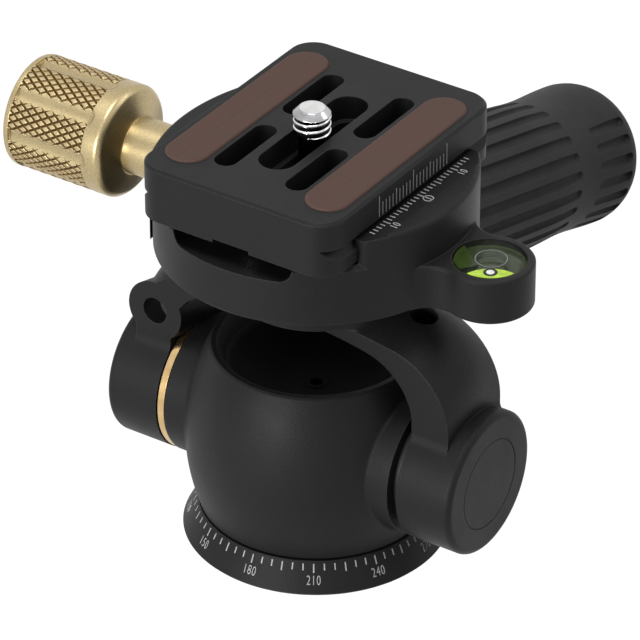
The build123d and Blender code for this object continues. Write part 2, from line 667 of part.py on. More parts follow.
def jaw_lip(side, low):
    """The dovetail section of one jaw, as a long bar that its round segment then trims."""
    outer = side * (PLATFORM_R + OVERRUN)
    inner = PLATE_X + side * JAW_IN_X
    tip = inner - side * (JAW_TOP - GROOVE_LOW_Z)
    outline = Polyline((inner, 0, low), (inner, 0, GROOVE_LOW_Z), (tip, 0, JAW_TOP),
                       (outer, 0, JAW_TOP), (outer, 0, low), close=True)
    return extrude(make_face(outline), PLATFORM_R, dir=(0, 1, 0), both=True)


def level_lug():
    """The lug that carries the bubble level, joined to the disc by two hollow curves."""
    a = PLATFORM_R + LUG_BLEND_R
    b = LUG_R + LUG_BLEND_R
    x = (a * a - b * b + LUG_X * LUG_X) / (2 * LUG_X)
    y = math.sqrt(a * a - x * x)
    web = make_face(Polyline((0, 0), (x, -y), (LUG_X, 0), (x, y), close=True))
    outline = web + Pos(LUG_X, 0) * Circle(LUG_R)
    outline -= Circle(PLATFORM_R - LUG_ROOT)
    outline -= Pos(x, y) * Circle(LUG_BLEND_R)
    outline -= Pos(x, -y) * Circle(LUG_BLEND_R)
    lug = extrude(Pos(0, 0, PLATFORM_Z) * outline, LUG_TOP - PLATFORM_Z)
    rims = lug.faces().filter_by(Axis.Z).edges()
    lug = fillet(rims, LUG_EDGE)
    lug -= disc(VIAL_R, LUG_TOP - VIAL_DEPTH, LUG_TOP + OVERRUN, LUG_X, 0)
    return lug


def jaw_hollow():
    """What the dovetail lip of the fixed jaw leaves free above the deck, as a long bar."""
    inner = PLATE_X + JAW_IN_X
    tip = inner - JAW_TOP + GROOVE_LOW_Z
    outline = Polyline((-PLATFORM_R, 0, DECK_Z), (inner, 0, DECK_Z), (inner, 0, GROOVE_LOW_Z),
                       (tip, 0, JAW_TOP), (tip, 0, JAW_TOP + OVERRUN),
                       (-PLATFORM_R, 0, JAW_TOP + OVERRUN), close=True)
    return extrude(make_face(outline), 2 * PLATFORM_R, dir=(0, 1, 0), both=True)


def deck_rim():
    """The sloping ring that is cut off the deck's round edge."""
    return turned([(PLATFORM_R - DECK_CHAMFER, DECK_Z), (PLATFORM_R + OVERRUN, DECK_Z),
                   (PLATFORM_R + OVERRUN, DECK_Z - DECK_CHAMFER - OVERRUN)])


def platform_body():
    """The round platform with its windows, fixed jaw, lug, flat for the moving jaw and bores."""
    body = turned([(0, PLATFORM_Z), (PLATFORM_R - UNDER_EDGE, PLATFORM_Z),
                   (PLATFORM_R, PLATFORM_Z + UNDER_EDGE),
                   (PLATFORM_R, JAW_TOP), (0, JAW_TOP)])
    body = fillet(body.edges().filter_by(GeomType.CIRCLE).sort_by(Axis.Z)[-1], JAW_EDGE)
    beside_jaw = Rectangle(4 * PLATFORM_R, 4 * PLATFORM_R) - jaw_outline(1)
    body -= extrude(Pos(0, 0, DECK_Z) * beside_jaw, PLATFORM_R)
    body -= jaw_hollow()
    body -= deck_rim() & extrude(Pos(0, 0, DECK_Z) * beside_jaw, -2 * DECK_CHAMFER)
    strip_x = PLATE_X + JAW_IN_X
    body -= block((0, -PLATFORM_R, JAW_TOP - STRIP_DEPTH), (strip_x + STRIP_W, PLATFORM_R, JAW_TOP + OVERRUN))
    for side in (-1, 1):
        y_in, y_out = sorted((side * BRIDGE_HALF_Y, side * (PLATFORM_R + OVERRUN)))
        window = block((-WINDOW_HALF_X, y_in, WINDOW_FLOOR), (WINDOW_HALF_X, y_out, DECK_Z + OVERRUN))
        body -= fillet(window.edges().filter_by(Axis.Y).group_by(Axis.Z)[0], WINDOW_ROUND)
        body -= rod_x(GUIDE_R + RUN_GAP, FLAT_X - OVERRUN, GUIDE_REACH_X + FREE_GAP, side * GUIDE_Y, GUIDE_Z)
        pocket_end = FLAT_X + SPRING_POCKET_DEPTH
        body -= rod_x(SPRING_POCKET_R, FLAT_X - OVERRUN, pocket_end, side * GUIDE_Y, GUIDE_Z)
    body -= block((-PLATFORM_R - OVERRUN, -PLATFORM_R, PLATFORM_Z - OVERRUN), (FLAT_X, PLATFORM_R, JAW_TOP))
    body -= rod_x(CLAMP_SCREW_R + RUN_GAP, FLAT_X - OVERRUN, CLAMP_SCREW_TIP_X + FREE_GAP, 0, CLAMP_Z)
    body -= platform_screw_set()[1]
    return body + level_lug()


def level_pieces():
    """The bubble level: a cup, its liquid with the bubble's space, and a domed lens."""
    low = LUG_TOP - VIAL_DEPTH
    lens_low = LUG_TOP - LENS_T
    inner_r = VIAL_R - CUP_WALL
    cup = disc(VIAL_R, low, lens_low, LUG_X, 0) - disc(inner_r, low + CUP_WALL, LUG_TOP, LUG_X, 0)
    bubble = Pos(LUG_X, BUBBLE_DY, lens_low - BUBBLE_R - RUN_GAP) * Sphere(BUBBLE_R)
    liquid = disc(inner_r, low + CUP_WALL, lens_low, LUG_X, 0) - bubble
    lens = Pos(LUG_X, 0, 0) * turned([(0, lens_low), (VIAL_R, lens_low), (VIAL_R, LUG_TOP - LENS_DOME),
                                      (VIAL_R - LENS_DOME, LUG_TOP), (0, LUG_TOP)])
    return {"level_cup": cup, "level_liquid": liquid, "level_bubble": bubble, "level_lens": lens}


def jaw_drum():
    """The round segment that the moving jaw is cut from."""
    drum = extrude(Pos(0, 0, PLATFORM_Z) * jaw_outline(-1), JAW_TOP - PLATFORM_Z)
    top_edges = drum.faces().sort_by(Axis.Z)[-1].edges()
    return fillet(top_edges.filter_by(GeomType.CIRCLE), JAW_EDGE)


def moving_jaw():
    """The sliding jaw: a lip over the deck and a skirt down the platform's flat side."""
    skirt = block((-PLATFORM_R - OVERRUN, -PLATFORM_R, PLATFORM_Z), (SKIRT_X, PLATFORM_R, JAW_TOP))
    jaw = jaw_drum() & (jaw_lip(-1, DECK_Z + JAW_LIFT) + skirt)
    jaw -= rod_x(CLAMP_SCREW_R + FREE_GAP, -PLATFORM_R - OVERRUN, 0, 0, CLAMP_Z)
    jaw -= rod_x(KNOB_NECK_R + 2 * FREE_GAP, -PLATFORM_R - OVERRUN, KNOB_SEAT_X, 0, CLAMP_Z)
    for side in (-1, 1):
        jaw -= rod_x(GUIDE_R, SKIRT_X - GUIDE_JAW_DEPTH, 0, side * GUIDE_Y, GUIDE_Z)
    return jaw


def coil_spring(x_low, x_high, y, z):
    """A helical spring about an X axis that touches both end planes. Prints its least gap."""
    length = x_high - x_low - 2 * SPRING_WIRE_R
    pitch = length / SPRING_TURNS
    path = Helix(pitch=pitch, height=length, radius=SPRING_R)
    start = Plane(origin=path @ 0, z_dir=path % 0)
    wire = sweep(start * Circle(SPRING_WIRE_R), path=path, is_frenet=True)
    print("spring turns", SPRING_TURNS, "least gap", round(pitch - 2 * SPRING_WIRE_R, 2))
    return Pos(x_low + SPRING_WIRE_R, y, z) * TURN_TO_X * wire


def jaw_pieces():
    """The moving jaw, its guide pins and the springs that push it open."""
    pins = []
    springs = []
    for side in (-1, 1):
        pins.append(rod_x(GUIDE_R, SKIRT_X - GUIDE_JAW_DEPTH, GUIDE_REACH_X, side * GUIDE_Y, GUIDE_Z))
        springs.append(coil_spring(SKIRT_X, FLAT_X + SPRING_POCKET_DEPTH, side * GUIDE_Y, GUIDE_Z))
    return {
        "moving_jaw": moving_jaw(),
        "jaw_guide_pins": Compound(children=pins),
        "jaw_springs": Compound(children=springs),
    }


def knob_pieces():
    """The gold clamp knob, the screw pressed into it and the washer that it bears on."""
    seat = KNOB_SEAT_X - KNOB_WASHER_T
    knob = turned_x([(seat, 0), (seat, KNOB_NECK_R), (KNOB_CONE_X, KNOB_NECK_R), (KNOB_CONE_X, KNOB_CONE_R),
                     (KNOB_RIM_X, KNOB_FACE_R), (KNOB_RIM_X - KNOB_ROUND, KNOB_R - RUN_GAP),
                     (KNOB_GRIP_X, KNOB_R), (KNOB_END_X + KNOB_ROUND / 2, KNOB_R),
                     (KNOB_END_X, KNOB_R - KNOB_ROUND / 2), (KNOB_END_X, 0)], 0, CLAMP_Z)
    flute_at = KNOB_R + KNOB_FLUTE_R - KNOB_FLUTE_DEPTH
    for index in range(KNOB_FLUTES):
        turn = math.radians(index * FULL_TURN / KNOB_FLUTES)
        knob -= rod_x(KNOB_FLUTE_R, KNOB_END_X + KNOB_END_BAND, KNOB_GRIP_X, flute_at * math.sin(turn),
                      CLAMP_Z + flute_at * math.cos(turn))
    knob -= rod_x(CLAMP_SCREW_R, CLAMP_SCREW_ROOT_X, 0, 0, CLAMP_Z)
    washer = rod_x(KNOB_NECK_R, seat, KNOB_SEAT_X, 0, CLAMP_Z)
    return {
        "clamp_knob": knob,
        "clamp_screw": rod_x(CLAMP_SCREW_R, CLAMP_SCREW_ROOT_X, CLAMP_SCREW_TIP_X, 0, CLAMP_Z),
        "knob_washer": washer - rod_x(CLAMP_SCREW_R, seat - OVERRUN, KNOB_SEAT_X + OVERRUN, 0, CLAMP_Z),
    }


def plate_body():
    """The quick-release plate: rounded corners, dovetail grooves, slots, pockets and a notch."""
    outline = RectangleRounded(PLATE_W, PLATE_L, PLATE_CORNER_R)
    body = extrude(Pos(0, 0, PLATE_Z) * outline, PLATE_TOP - PLATE_Z)
    body = chamfer(body.faces().sort_by(Axis.Z)[-1].edges(), PLATE_CHAMFER)
    for side in (-1, 1):
        groove = Polyline((side * (PLATE_HALF + OVERRUN), 0, GROOVE_LOW_Z - OVERRUN),
                          (side * (PLATE_HALF - GROOVE_IN), 0, GROOVE_TOP_Z),
                          (side * (PLATE_HALF + OVERRUN), 0, GROOVE_TOP_Z), close=True)
        body -= extrude(make_face(groove), PLATE_L, dir=(0, 1, 0), both=True)
        body -= pad_shape(side, PLATE_TOP + PAD_PROUD - PAD_T, PLATE_TOP + OVERRUN)
        for end in (-1, 1):
            y = SIDE_SLOT_MID_Y + end * SIDE_SLOT_Y
            half = SIDE_SLOT_L / 2 - SIDE_SLOT_R
            body -= stadium(SIDE_SLOT_R, y - half, y + half, PLATE_Z - OVERRUN, PLATE_TOP + OVERRUN,
                            side * SIDE_SLOT_X)
        body -= disc(STOP_PIN_R, PLATE_Z - OVERRUN, STOP_PIN_HIGH, 0, side * STOP_PIN_Y)
    body -= stadium(SLOT_R, SLOT_FRONT, SLOT_REAR, SLOT_STEP_Z, PLATE_TOP + OVERRUN)
    body -= stadium(SLOT_NARROW_R, SLOT_FRONT, SLOT_REAR, PLATE_Z, SLOT_STEP_Z + RUN_GAP)
    body -= stadium(HEAD_SLOT_R, SLOT_FRONT, SLOT_REAR, PLATE_Z - OVERRUN, HEAD_SLOT_TOP)
    notch_in = -PLATE_L / 2 + NOTCH_L
    body -= block((-NOTCH_W / 2, -PLATE_L, PLATE_Z - OVERRUN), (NOTCH_W / 2, notch_in, PLATE_Z + NOTCH_H))
    return PLATE_AT * body


def pad_shape(side, low, high):
    """The long round-ended outline of a rubber pad or of its pocket."""
    reach = PAD_L / 2 - PAD_W / 2
    return stadium(PAD_W / 2, -reach, reach, low, high, side * PAD_X)


def pad(side):
    """One rubber pad, with a softened top edge."""
    body = pad_shape(side, PLATE_TOP + PAD_PROUD - PAD_T, PLATE_TOP + PAD_PROUD)
    body = chamfer(body.faces().sort_by(Axis.Z)[-1].edges(), COVER_EDGE)
    return PLATE_AT * body


def plate_pieces():
    """The plate, its rubber pads and the stop pins under it."""
    pins = [PLATE_AT * disc(STOP_PIN_R, STOP_PIN_LOW, STOP_PIN_HIGH, 0, side * STOP_PIN_Y)
            for side in (-1, 1)]
    return {
        "quick_release_plate": plate_body(),
        "rubber_pad_left": pad(-1),
        "rubber_pad_right": pad(1),
        "plate_stop_pins": Compound(children=pins),
    }


def camera_screw_pieces():
    """The camera screw with its slotted head, and the washer that slides with it."""
    head_top = HEAD_SLOT_TOP - HEAD_WASHER_T
    screw = turned([(0, SCREW_HEAD_LOW), (SCREW_HEAD_R, SCREW_HEAD_LOW), (SCREW_HEAD_R, head_top),
                    (SCREW_NECK_R, head_top), (SCREW_NECK_R, SCREW_THREAD_LOW), (SCREW_R, SCREW_THREAD_LOW),
                    (SCREW_R, SCREW_TIP - SCREW_BEVEL), (SCREW_TIP_R, SCREW_TIP), (0, SCREW_TIP)])
    screw -= block((-COIN_SLOT_W / 2, -SCREW_HEAD_R - OVERRUN, SCREW_HEAD_LOW - OVERRUN),
                   (COIN_SLOT_W / 2, SCREW_HEAD_R + OVERRUN, SCREW_HEAD_LOW + COIN_SLOT_DEPTH))
    return {
        "camera_screw": SCREW_AT * screw,
        "screw_washer": SCREW_AT * ring(SCREW_HEAD_R, SCREW_NECK_R + RUN_GAP, head_top, HEAD_SLOT_TOP),
    }


def grip_outline():
    """The rubber grip's outline: a soft near end, a long barrel, a waist, a bulb and a domed end."""
    start = FERRULE_START + FERRULE_T
    bore = (CORE_R, 0, start)
    near = (GRIP_NEAR_R, 0, start)
    swell = (GRIP_R, 0, GRIP_SWELL_AT)
    near_waist = (GRIP_R, 0, 2 * GRIP_WAIST_AT - GRIP_BULB_AT)
    waist = (GRIP_WAIST_R, 0, GRIP_WAIST_AT)
    bulb = (GRIP_BULB_R, 0, GRIP_BULB_AT)
    round_in = (GRIP_BULB_R - GRIP_END_ROUND, 0, GRIP_END - GRIP_DOME)
    lean = GRIP_END_ROUND * (1 - math.sqrt(0.5))
    corner = (GRIP_BULB_R - lean, 0, GRIP_END - GRIP_DOME - lean)
    tip = (0, 0, GRIP_END)
    core_tip = (0, 0, CORE_END)
    core_rim = (CORE_R, 0, CORE_END)
    return make_face(
        Line(bore, near) + Spline(near, swell, tangents=[(1, 0, 1), (0, 0, 1)]) + Line(swell, near_waist)
        + Spline(near_waist, waist, tangents=[(0, 0, 1), (0, 0, 1)])
        + Spline(waist, bulb, tangents=[(0, 0, 1), (0, 0, 1)])
        + ThreePointArc(bulb, corner, round_in) + Line(round_in, tip) + Line(tip, core_tip)
        + Line(core_tip, core_rim) + Line(core_rim, bore))


def groove_cutter(start, end, surface_r):
    """A round-ended groove cutter that lies along the grip's surface."""
    x = surface_r + GROOVE_R - GROOVE_DEPTH
    low = start + GROOVE_R
    high = end - GROOVE_R
    return (disc(GROOVE_R, low, high, x, 0) + Pos(x, 0, low) * Sphere(GROOVE_R)
            + Pos(x, 0, high) * Sphere(GROOVE_R))


def handle_grip():
    """The rubber grip with its long grooves, and the short ones on the two sides of the bulb."""
    body = revolve(grip_outline(), Axis.Z, FULL_TURN)
    long_r = (GRIP_R + GRIP_WAIST_R) / 2
    short_r = (GRIP_WAIST_R + GRIP_BULB_R) / 2
    half = GROOVES / 2
    cutters = []
    for index in range(GROOVES):
        turn = Rot(0, 0, index * FULL_TURN / GROOVES)
        cutters.append(turn * groove_cutter(GROOVE_START, GROOVE_END, long_r))
        if abs((index + half / 2) % half - half / 2) <= SHORT_GROOVE_SPREAD:
            cutters.append(turn * groove_cutter(SHORT_GROOVE_START, SHORT_GROOVE_END, short_r))
    return body - cutters


def handle_pieces():
    """The rod, its washer and collar, the grip's core and the rubber grip."""
    collar_low = EAR_SPOT + WASHER_T
    rod = turned([(0, ROD_THREAD_START), (ROD_THREAD_R, ROD_THREAD_START), (ROD_THREAD_R, ROD_NECK_START),
                  (ROD_NECK_R, ROD_NECK_START), (ROD_NECK_R, collar_low), (ROD_R, collar_low),
                  (ROD_R, ROD_END), (0, ROD_END)])
    collar_high = collar_low + COLLAR_LEN
    collar = turned([(ROD_R, collar_low), (COLLAR_R - COLLAR_EDGE, collar_low),
                     (COLLAR_R, collar_low + COLLAR_EDGE), (COLLAR_R, collar_high - COLLAR_EDGE),
                     (COLLAR_R - COLLAR_EDGE, collar_high), (ROD_R, collar_high)])
    core = turned([(0, CORE_END), (CORE_R, CORE_END), (CORE_R, FERRULE_START + FERRULE_T),
                   (FERRULE_R, FERRULE_START + FERRULE_T), (FERRULE_R, FERRULE_START + COLLAR_EDGE),
                   (FERRULE_R - COLLAR_EDGE, FERRULE_START), (ROD_R, FERRULE_START), (ROD_R, ROD_END),
                   (0, ROD_END)])
    return {
        "handle_rod": on_handle(rod),
        "handle_washer": on_handle(ring(WASHER_R, ROD_NECK_R + RUN_GAP, EAR_SPOT, collar_low)),
        "handle_collar": on_handle(collar),
        "grip_core": on_handle(core),
        "handle_grip": on_handle(handle_grip()),
    }


def all_pieces():
    """Every piece of the head by its name."""
    pieces = {}
    for group in (base_pieces(), housing_pieces(), fork_pieces(), {"platform": platform_body()},
                  level_pieces(), jaw_pieces(), knob_pieces(), plate_pieces(), camera_screw_pieces(),
                  handle_pieces()):
        pieces.update(group)
    return pieces


os.makedirs("parts", exist_ok=True)
for name, piece in all_pieces().items():
    export_step(piece, f"parts/{name}.step")
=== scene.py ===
"""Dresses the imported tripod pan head: finishes, knurled knob, threads, scales, bubble level and studio."""

import logging
import math
from collections.abc import Callable, Iterable, Sequence
from dataclasses import dataclass, field
from enum import Enum

import bpy
from mathutils import Matrix, Vector

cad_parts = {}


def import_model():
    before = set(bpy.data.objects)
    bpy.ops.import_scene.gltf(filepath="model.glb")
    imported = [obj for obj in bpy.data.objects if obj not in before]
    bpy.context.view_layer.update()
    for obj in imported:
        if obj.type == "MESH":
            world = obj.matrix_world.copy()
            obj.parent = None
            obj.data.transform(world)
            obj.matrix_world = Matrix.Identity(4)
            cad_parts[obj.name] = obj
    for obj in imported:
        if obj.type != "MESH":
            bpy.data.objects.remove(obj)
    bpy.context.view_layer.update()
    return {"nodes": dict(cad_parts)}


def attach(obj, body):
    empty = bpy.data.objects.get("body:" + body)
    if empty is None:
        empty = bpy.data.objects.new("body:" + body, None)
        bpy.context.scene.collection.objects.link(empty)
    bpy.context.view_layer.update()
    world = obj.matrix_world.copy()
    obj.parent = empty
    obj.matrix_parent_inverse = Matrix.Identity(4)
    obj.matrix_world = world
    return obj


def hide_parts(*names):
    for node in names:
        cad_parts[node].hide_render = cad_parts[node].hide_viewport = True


MM = 0.001
FULL_TURN = 2 * math.pi
FULL_TURN_DEG = 360.0
UP = (0.0, 0.0, 1.0)
DOWN = (0.0, 0.0, -1.0)
SAME_PLACE_MM = 0.0005
ON_PLANE_MM = 0.0001
SPARE_TURNS = 4
Colour = tuple[float, float, float]
Pair = tuple[float, float]
log = logging.getLogger("pan_head")


class Tooling(Enum):
    """What a tool does to the piece that it meets."""

    CUT = "DIFFERENCE"
    ADD = "UNION"
    KEEP = "INTERSECT"


class Side(Enum):
    """The two sides of the camera plate."""

    LEFT = -1
    RIGHT = 1


class Tick(Enum):
    """The kinds of line on a scale."""

    SHORT = "short"
    MIDDLE = "middle"
    LONG = "long"


def srgb(red: float, green: float, blue: float) -> tuple[float, float, float, float]:
    """Turns screen values of 0 to 255 into the linear colour that a shader reads.

    Args:
        red, green, blue: the colour as it should look on a screen.
    Returns:
        The linear colour with full opacity.
    """
    def lift(value: float) -> float:
        """Gives one channel by the screen's own curve."""
        share = value / 255
        return share / 12.92 if share <= 0.04045 else ((share + 0.055) / 1.055) ** 2.4
    return (lift(red), lift(green), lift(blue), 1.0)


class Recipe:
    """One material's nodes: adds them, sets their sockets and joins them."""

    PLAIN_NOISE = (0.3, 0.7)
    ON_EDGE = (0.85, 0.995)
    BEVEL_SAMPLES = 4
    MIX_SHARE, MIX_FIRST, MIX_SECOND, MIX_RESULT = 0, 6, 7, 2

    def __init__(self, name: str) -> None:
        """Starts a material with a Principled shader and the object's own coordinates.

        Args:
            name: the material's name.
        """
        self.material = bpy.data.materials.new(name)
        self.material.use_nodes = True
        self.tree = self.material.node_tree
        self.shader = self.tree.nodes["Principled BSDF"]
        self.place = self.add("ShaderNodeTexCoord").outputs["Object"]

    def add(self, kind: str, sockets: dict | None = None, **settings: object) -> bpy.types.Node:
        """Adds a node.

        Args:
            kind: the node's type.
            sockets: input name to a value, or to an output to join.
            settings: the node's own settings.
        Returns:
            The new node.
        """
        node = self.tree.nodes.new(kind)
        for key, value in settings.items():
            setattr(node, key, value)
        for key, value in (sockets or {}).items():
            self.feed(node.inputs[key], value)
        return node

    def feed(self, socket: bpy.types.NodeSocket, value: object) -> None:
        """Joins an output to a socket, or writes the socket's value.

        Args:
            socket: the input that is fed.
            value: an output, or a plain value.
        """
        if isinstance(value, bpy.types.NodeSocket):
            self.tree.links.new(value, socket)
        else:
            socket.default_value = value

    def dress(self, **sockets: object) -> None:
        """Feeds the shader's sockets; an underscore in a name stands for a space."""
        for key, value in sockets.items():
            self.feed(self.shader.inputs[key.replace("_", " ")], value)

    def noise(self, grain_mm: float, detail: float = 2.0,
              stretch: Sequence[float] = (1, 1, 1)) -> bpy.types.NodeSocket:
        """A noise whose features are about grain_mm across.

        Args:
            grain_mm: the size of one feature, in millimetres.
            detail: how many finer layers it has.
            stretch: how the pattern is scaled along X, Y and Z.
        Returns:
            The noise's value output.
        """
        mapping = self.add("ShaderNodeMapping", {"Vector": self.place, "Scale": tuple(stretch)})
        sockets = {"Vector": mapping.outputs["Vector"], "Scale": 1 / (grain_mm * MM), "Detail": detail}
        return self.add("ShaderNodeTexNoise", sockets).outputs["Fac"]

    def between(self, value: bpy.types.NodeSocket, low: float, high: float,
                span: Pair = PLAIN_NOISE) -> bpy.types.NodeSocket:
        """Maps part of a value's range onto another range.

        Args:
            value: the output to map.
            low, high: what the two ends of the span become.
            span: the part of the value that is used.
        Returns:
            The mapped output.
        """
        sockets = {"Value": value, "From Min": span[0], "From Max": span[1], "To Min": low, "To Max": high}
        return self.add("ShaderNodeMapRange", sockets).outputs["Result"]

    def times(self, first: object, second: object) -> bpy.types.NodeSocket:
        """Multiplies two values or outputs."""
        return self.add("ShaderNodeMath", {0: first, 1: second}, operation="MULTIPLY").outputs[0]

    def blend(self, share: object, first: object, second: object) -> bpy.types.NodeSocket:
        """Mixes two colours.

        Args:
            share: 0 gives the first colour and 1 the second.
            first, second: colours or outputs.
        Returns:
            The mixed colour.
        """
        node = self.add("ShaderNodeMix", data_type="RGBA")
        for index, value in ((self.MIX_SHARE, share), (self.MIX_FIRST, first), (self.MIX_SECOND, second)):
            self.feed(node.inputs[index], value)
        return node.outputs[self.MIX_RESULT]

    def edges(self, radius_mm: float) -> tuple[bpy.types.NodeSocket, bpy.types.NodeSocket]:
        """Finds the edges of the shape.

        Args:
            radius_mm: how far from an edge still counts, in millimetres.
        Returns:
            The normal rounded over the edges, and a mask that is 1 on them.
        """
        bevel = self.add("ShaderNodeBevel", {"Radius": radius_mm * MM}, samples=self.BEVEL_SAMPLES)
        rounded = bevel.outputs["Normal"]
        plain = self.add("ShaderNodeNewGeometry").outputs["Normal"]
        alike = self.add("ShaderNodeVectorMath", {0: rounded, 1: plain}, operation="DOT_PRODUCT")
        return rounded, self.between(alike.outputs["Value"], 1.0, 0.0, self.ON_EDGE)

    def bump(self, height: bpy.types.NodeSocket, depth_mm: float,
             normal: bpy.types.NodeSocket | None = None) -> bpy.types.NodeSocket:
        """Turns a height into a normal.

        Args:
            height: the height output, 0 to 1.
            depth_mm: how deep 0 to 1 is, in millimetres.
            normal: the normal that the bump is laid on.
        Returns:
            The bumped normal.
        """
        node = self.add("ShaderNodeBump", {"Height": height, "Distance": depth_mm * MM, "Strength": 1.0})
        if normal is not None:
            self.feed(node.inputs["Normal"], normal)
        return node.outputs["Normal"]


@dataclass(frozen=True)
class BlastedAnodising:
    """Bead-blasted and anodised aluminium: fine pits, a satin sheen, and edges painted paler, partly as wear
    and partly as a painted highlight.

    A dish radius paints shade into the dish on the housing's top: there the finish is painted darker and
    duller.
    """

    name: str = "black_anodised"
    colour: Colour = (33, 33, 34)
    rubbed_and_highlight: Colour = (84, 84, 86)
    metallic: float = 0.0
    specular: float = 0.18
    rough: Pair = (0.46, 0.54)
    grain_mm: float = 0.26
    pit_mm: float = 0.05
    edge_mm: float = 0.30
    edge_share: float = 0.8
    pit_tone: float = 0.80
    cloud_mm: float = 9.0
    chip_mm: float = 0.5
    least_chip: float = 0.35
    # Painted shade in the dish on the housing's top:
    dish_r_mm: float = 0.0
    dish_fade_mm: float = 3.0
    dish_low_mm: float = 24.0
    dish_low_fade_mm: float = 0.2
    dish_shade_tone: Colour = (14, 14, 14)
    dish_shade_specular: float = 0.03

    def make(self) -> bpy.types.Material:
        """Writes the material.

        Returns:
            The material.
        """
        mix = Recipe(self.name + "_finish")
        grain = mix.noise(self.grain_mm, detail=1.5)
        cloud = mix.noise(self.cloud_mm, detail=3.0)
        rounded, edge = mix.edges(self.edge_mm)
        chips = mix.between(mix.noise(self.chip_mm, detail=3.0), self.least_chip, 1.0)
        # Painted highlight and wear: the edges, broken up by chips, are painted paler.
        worn_and_highlight = mix.times(mix.times(edge, chips), self.edge_share)
        dark = srgb(*(self.pit_tone * part for part in self.colour))
        base = mix.blend(mix.between(grain, 0.0, 1.0), dark, srgb(*self.colour))
        tone, gloss = mix.blend(worn_and_highlight, base, srgb(*self.rubbed_and_highlight)), self.specular
        # Painted shade: inside the dish the colour is darkened and the gloss lowered.
        if self.dish_r_mm:
            lit = self.outside_dish_shade(mix)
            tone = mix.blend(lit, srgb(*self.dish_shade_tone), tone)
            gloss = mix.between(lit, self.dish_shade_specular, self.specular, (0.0, 1.0))
        mix.dress(Base_Color=tone, Metallic=self.metallic, Specular_IOR_Level=gloss,
                  Roughness=mix.between(cloud, *self.rough), Normal=mix.bump(grain, self.pit_mm, rounded))
        return mix.material

    def outside_dish_shade(self, mix: Recipe) -> bpy.types.NodeSocket:
        """Finds what lies outside the painted shade in the dish on the housing's top.

        Args:
            mix: the recipe that gets the nodes.
        Returns:
            A mask that fades from 0 in the dish to 1 at its rim and everywhere else.
        """
        flat = mix.add("ShaderNodeVectorMath", {0: mix.place, 1: (1.0, 1.0, 0.0)}, operation="MULTIPLY")
        reach = mix.add("ShaderNodeVectorMath", {0: flat.outputs["Vector"]}, operation="LENGTH")
        fade = ((self.dish_r_mm - self.dish_fade_mm) * MM, self.dish_r_mm * MM)
        past_rim = mix.between(reach.outputs["Value"], 0.0, 1.0, fade)
        height = mix.add("ShaderNodeSeparateXYZ", {0: mix.place}).outputs["Z"]
        fade = ((self.dish_low_mm - self.dish_low_fade_mm) * MM, self.dish_low_mm * MM)
        below = mix.between(height, 1.0, 0.0, fade)
        return mix.add("ShaderNodeMath", {0: past_rim, 1: below}, operation="MAXIMUM").outputs[0]


@dataclass(frozen=True)
class TurnedMetal:
    """Bare or plated metal off a lathe: fine rings round its axis, slight tarnish and edges painted brighter
    as a highlight.
    """

    name: str
    colour: Colour
    tarnish: Colour
    rough: Pair = (0.22, 0.34)
    ring_mm: float = 0.08
    ring_depth_mm: float = 0.002
    stretch: tuple[float, float, float] = (1.0, 0.06, 0.06)
    cloud_mm: float = 3.0
    cloud_span: Pair = (0.35, 0.75)
    edge_mm: float = 0.10
    edge_gleam: float = 1.12

    def make(self) -> bpy.types.Material:
        """Writes the material.

        Returns:
            The material.
        """
        mix = Recipe(self.name + "_finish")
        rings = mix.noise(self.ring_mm, stretch=self.stretch)
        cloud = mix.noise(self.cloud_mm, detail=4.0)
        rounded, edge = mix.edges(self.edge_mm)
        tarnished = mix.between(cloud, 0.0, 1.0, self.cloud_span)
        aged = mix.blend(tarnished, srgb(*self.colour), srgb(*self.tarnish))
        # Painted highlight: the edges are painted brighter than the metal.
        bright = srgb(*(min(255.0, self.edge_gleam * part) for part in self.colour))
        mix.dress(Base_Color=mix.blend(edge, aged, bright), Metallic=1.0,
                  Roughness=mix.between(rings, *self.rough),
                  Normal=mix.bump(rings, self.ring_depth_mm, rounded))
        return mix.material


@dataclass(frozen=True)
class MouldedRubber:
    """Matt moulded rubber or soft plastic, with a fine skin, dust in random patches and edges painted paler
    as a highlight.
    """

    name: str
    colour: Colour
    dust_and_edge_highlight: Colour
    rough: Pair = (0.55, 0.72)
    grain_mm: float = 0.25
    grain_depth_mm: float = 0.006
    specular: float = 0.35
    cloud_mm: float = 6.0
    most_dust: float = 0.5
    edge_mm: float = 0.25

    def make(self) -> bpy.types.Material:
        """Writes the material.

        Returns:
            The material.
        """
        mix = Recipe(self.name + "_finish")
        grain = mix.noise(self.grain_mm)
        cloud = mix.noise(self.cloud_mm, detail=4.0)
        rounded, edge = mix.edges(self.edge_mm)
        dust = mix.between(cloud, 0.0, self.most_dust)
        base = mix.blend(dust, srgb(*self.colour), srgb(*self.dust_and_edge_highlight))
        # Painted highlight: the edges take the paler dust colour.
        mix.dress(Base_Color=mix.blend(edge, base, srgb(*self.dust_and_edge_highlight)), Specular_IOR_Level=self.specular,
                  Roughness=mix.between(grain, *self.rough),
                  Normal=mix.bump(grain, self.grain_depth_mm, rounded))
        return mix.material


@dataclass(frozen=True)
class ScalePaint:
    """White marking paint, slightly uneven where it was wiped into the marks."""

    name: str = "scale_paint"
    colour: Colour = (222, 222, 220)
    thin: Colour = (186, 186, 184)
    patch_mm: float = 0.22
    patch_depth_mm: float = 0.003
    rough: Pair = (0.55, 0.7)

    def make(self) -> bpy.types.Material:
        """Writes the material.

        Returns:
            The material.
        """
        mix = Recipe(self.name + "_finish")
        patch = mix.noise(self.patch_mm)
        mix.dress(Base_Color=mix.blend(mix.between(patch, 0.0, 1.0), srgb(*self.colour), srgb(*self.thin)),
                  Roughness=mix.between(patch, *self.rough), Normal=mix.bump(patch, self.patch_depth_mm))
        return mix.material


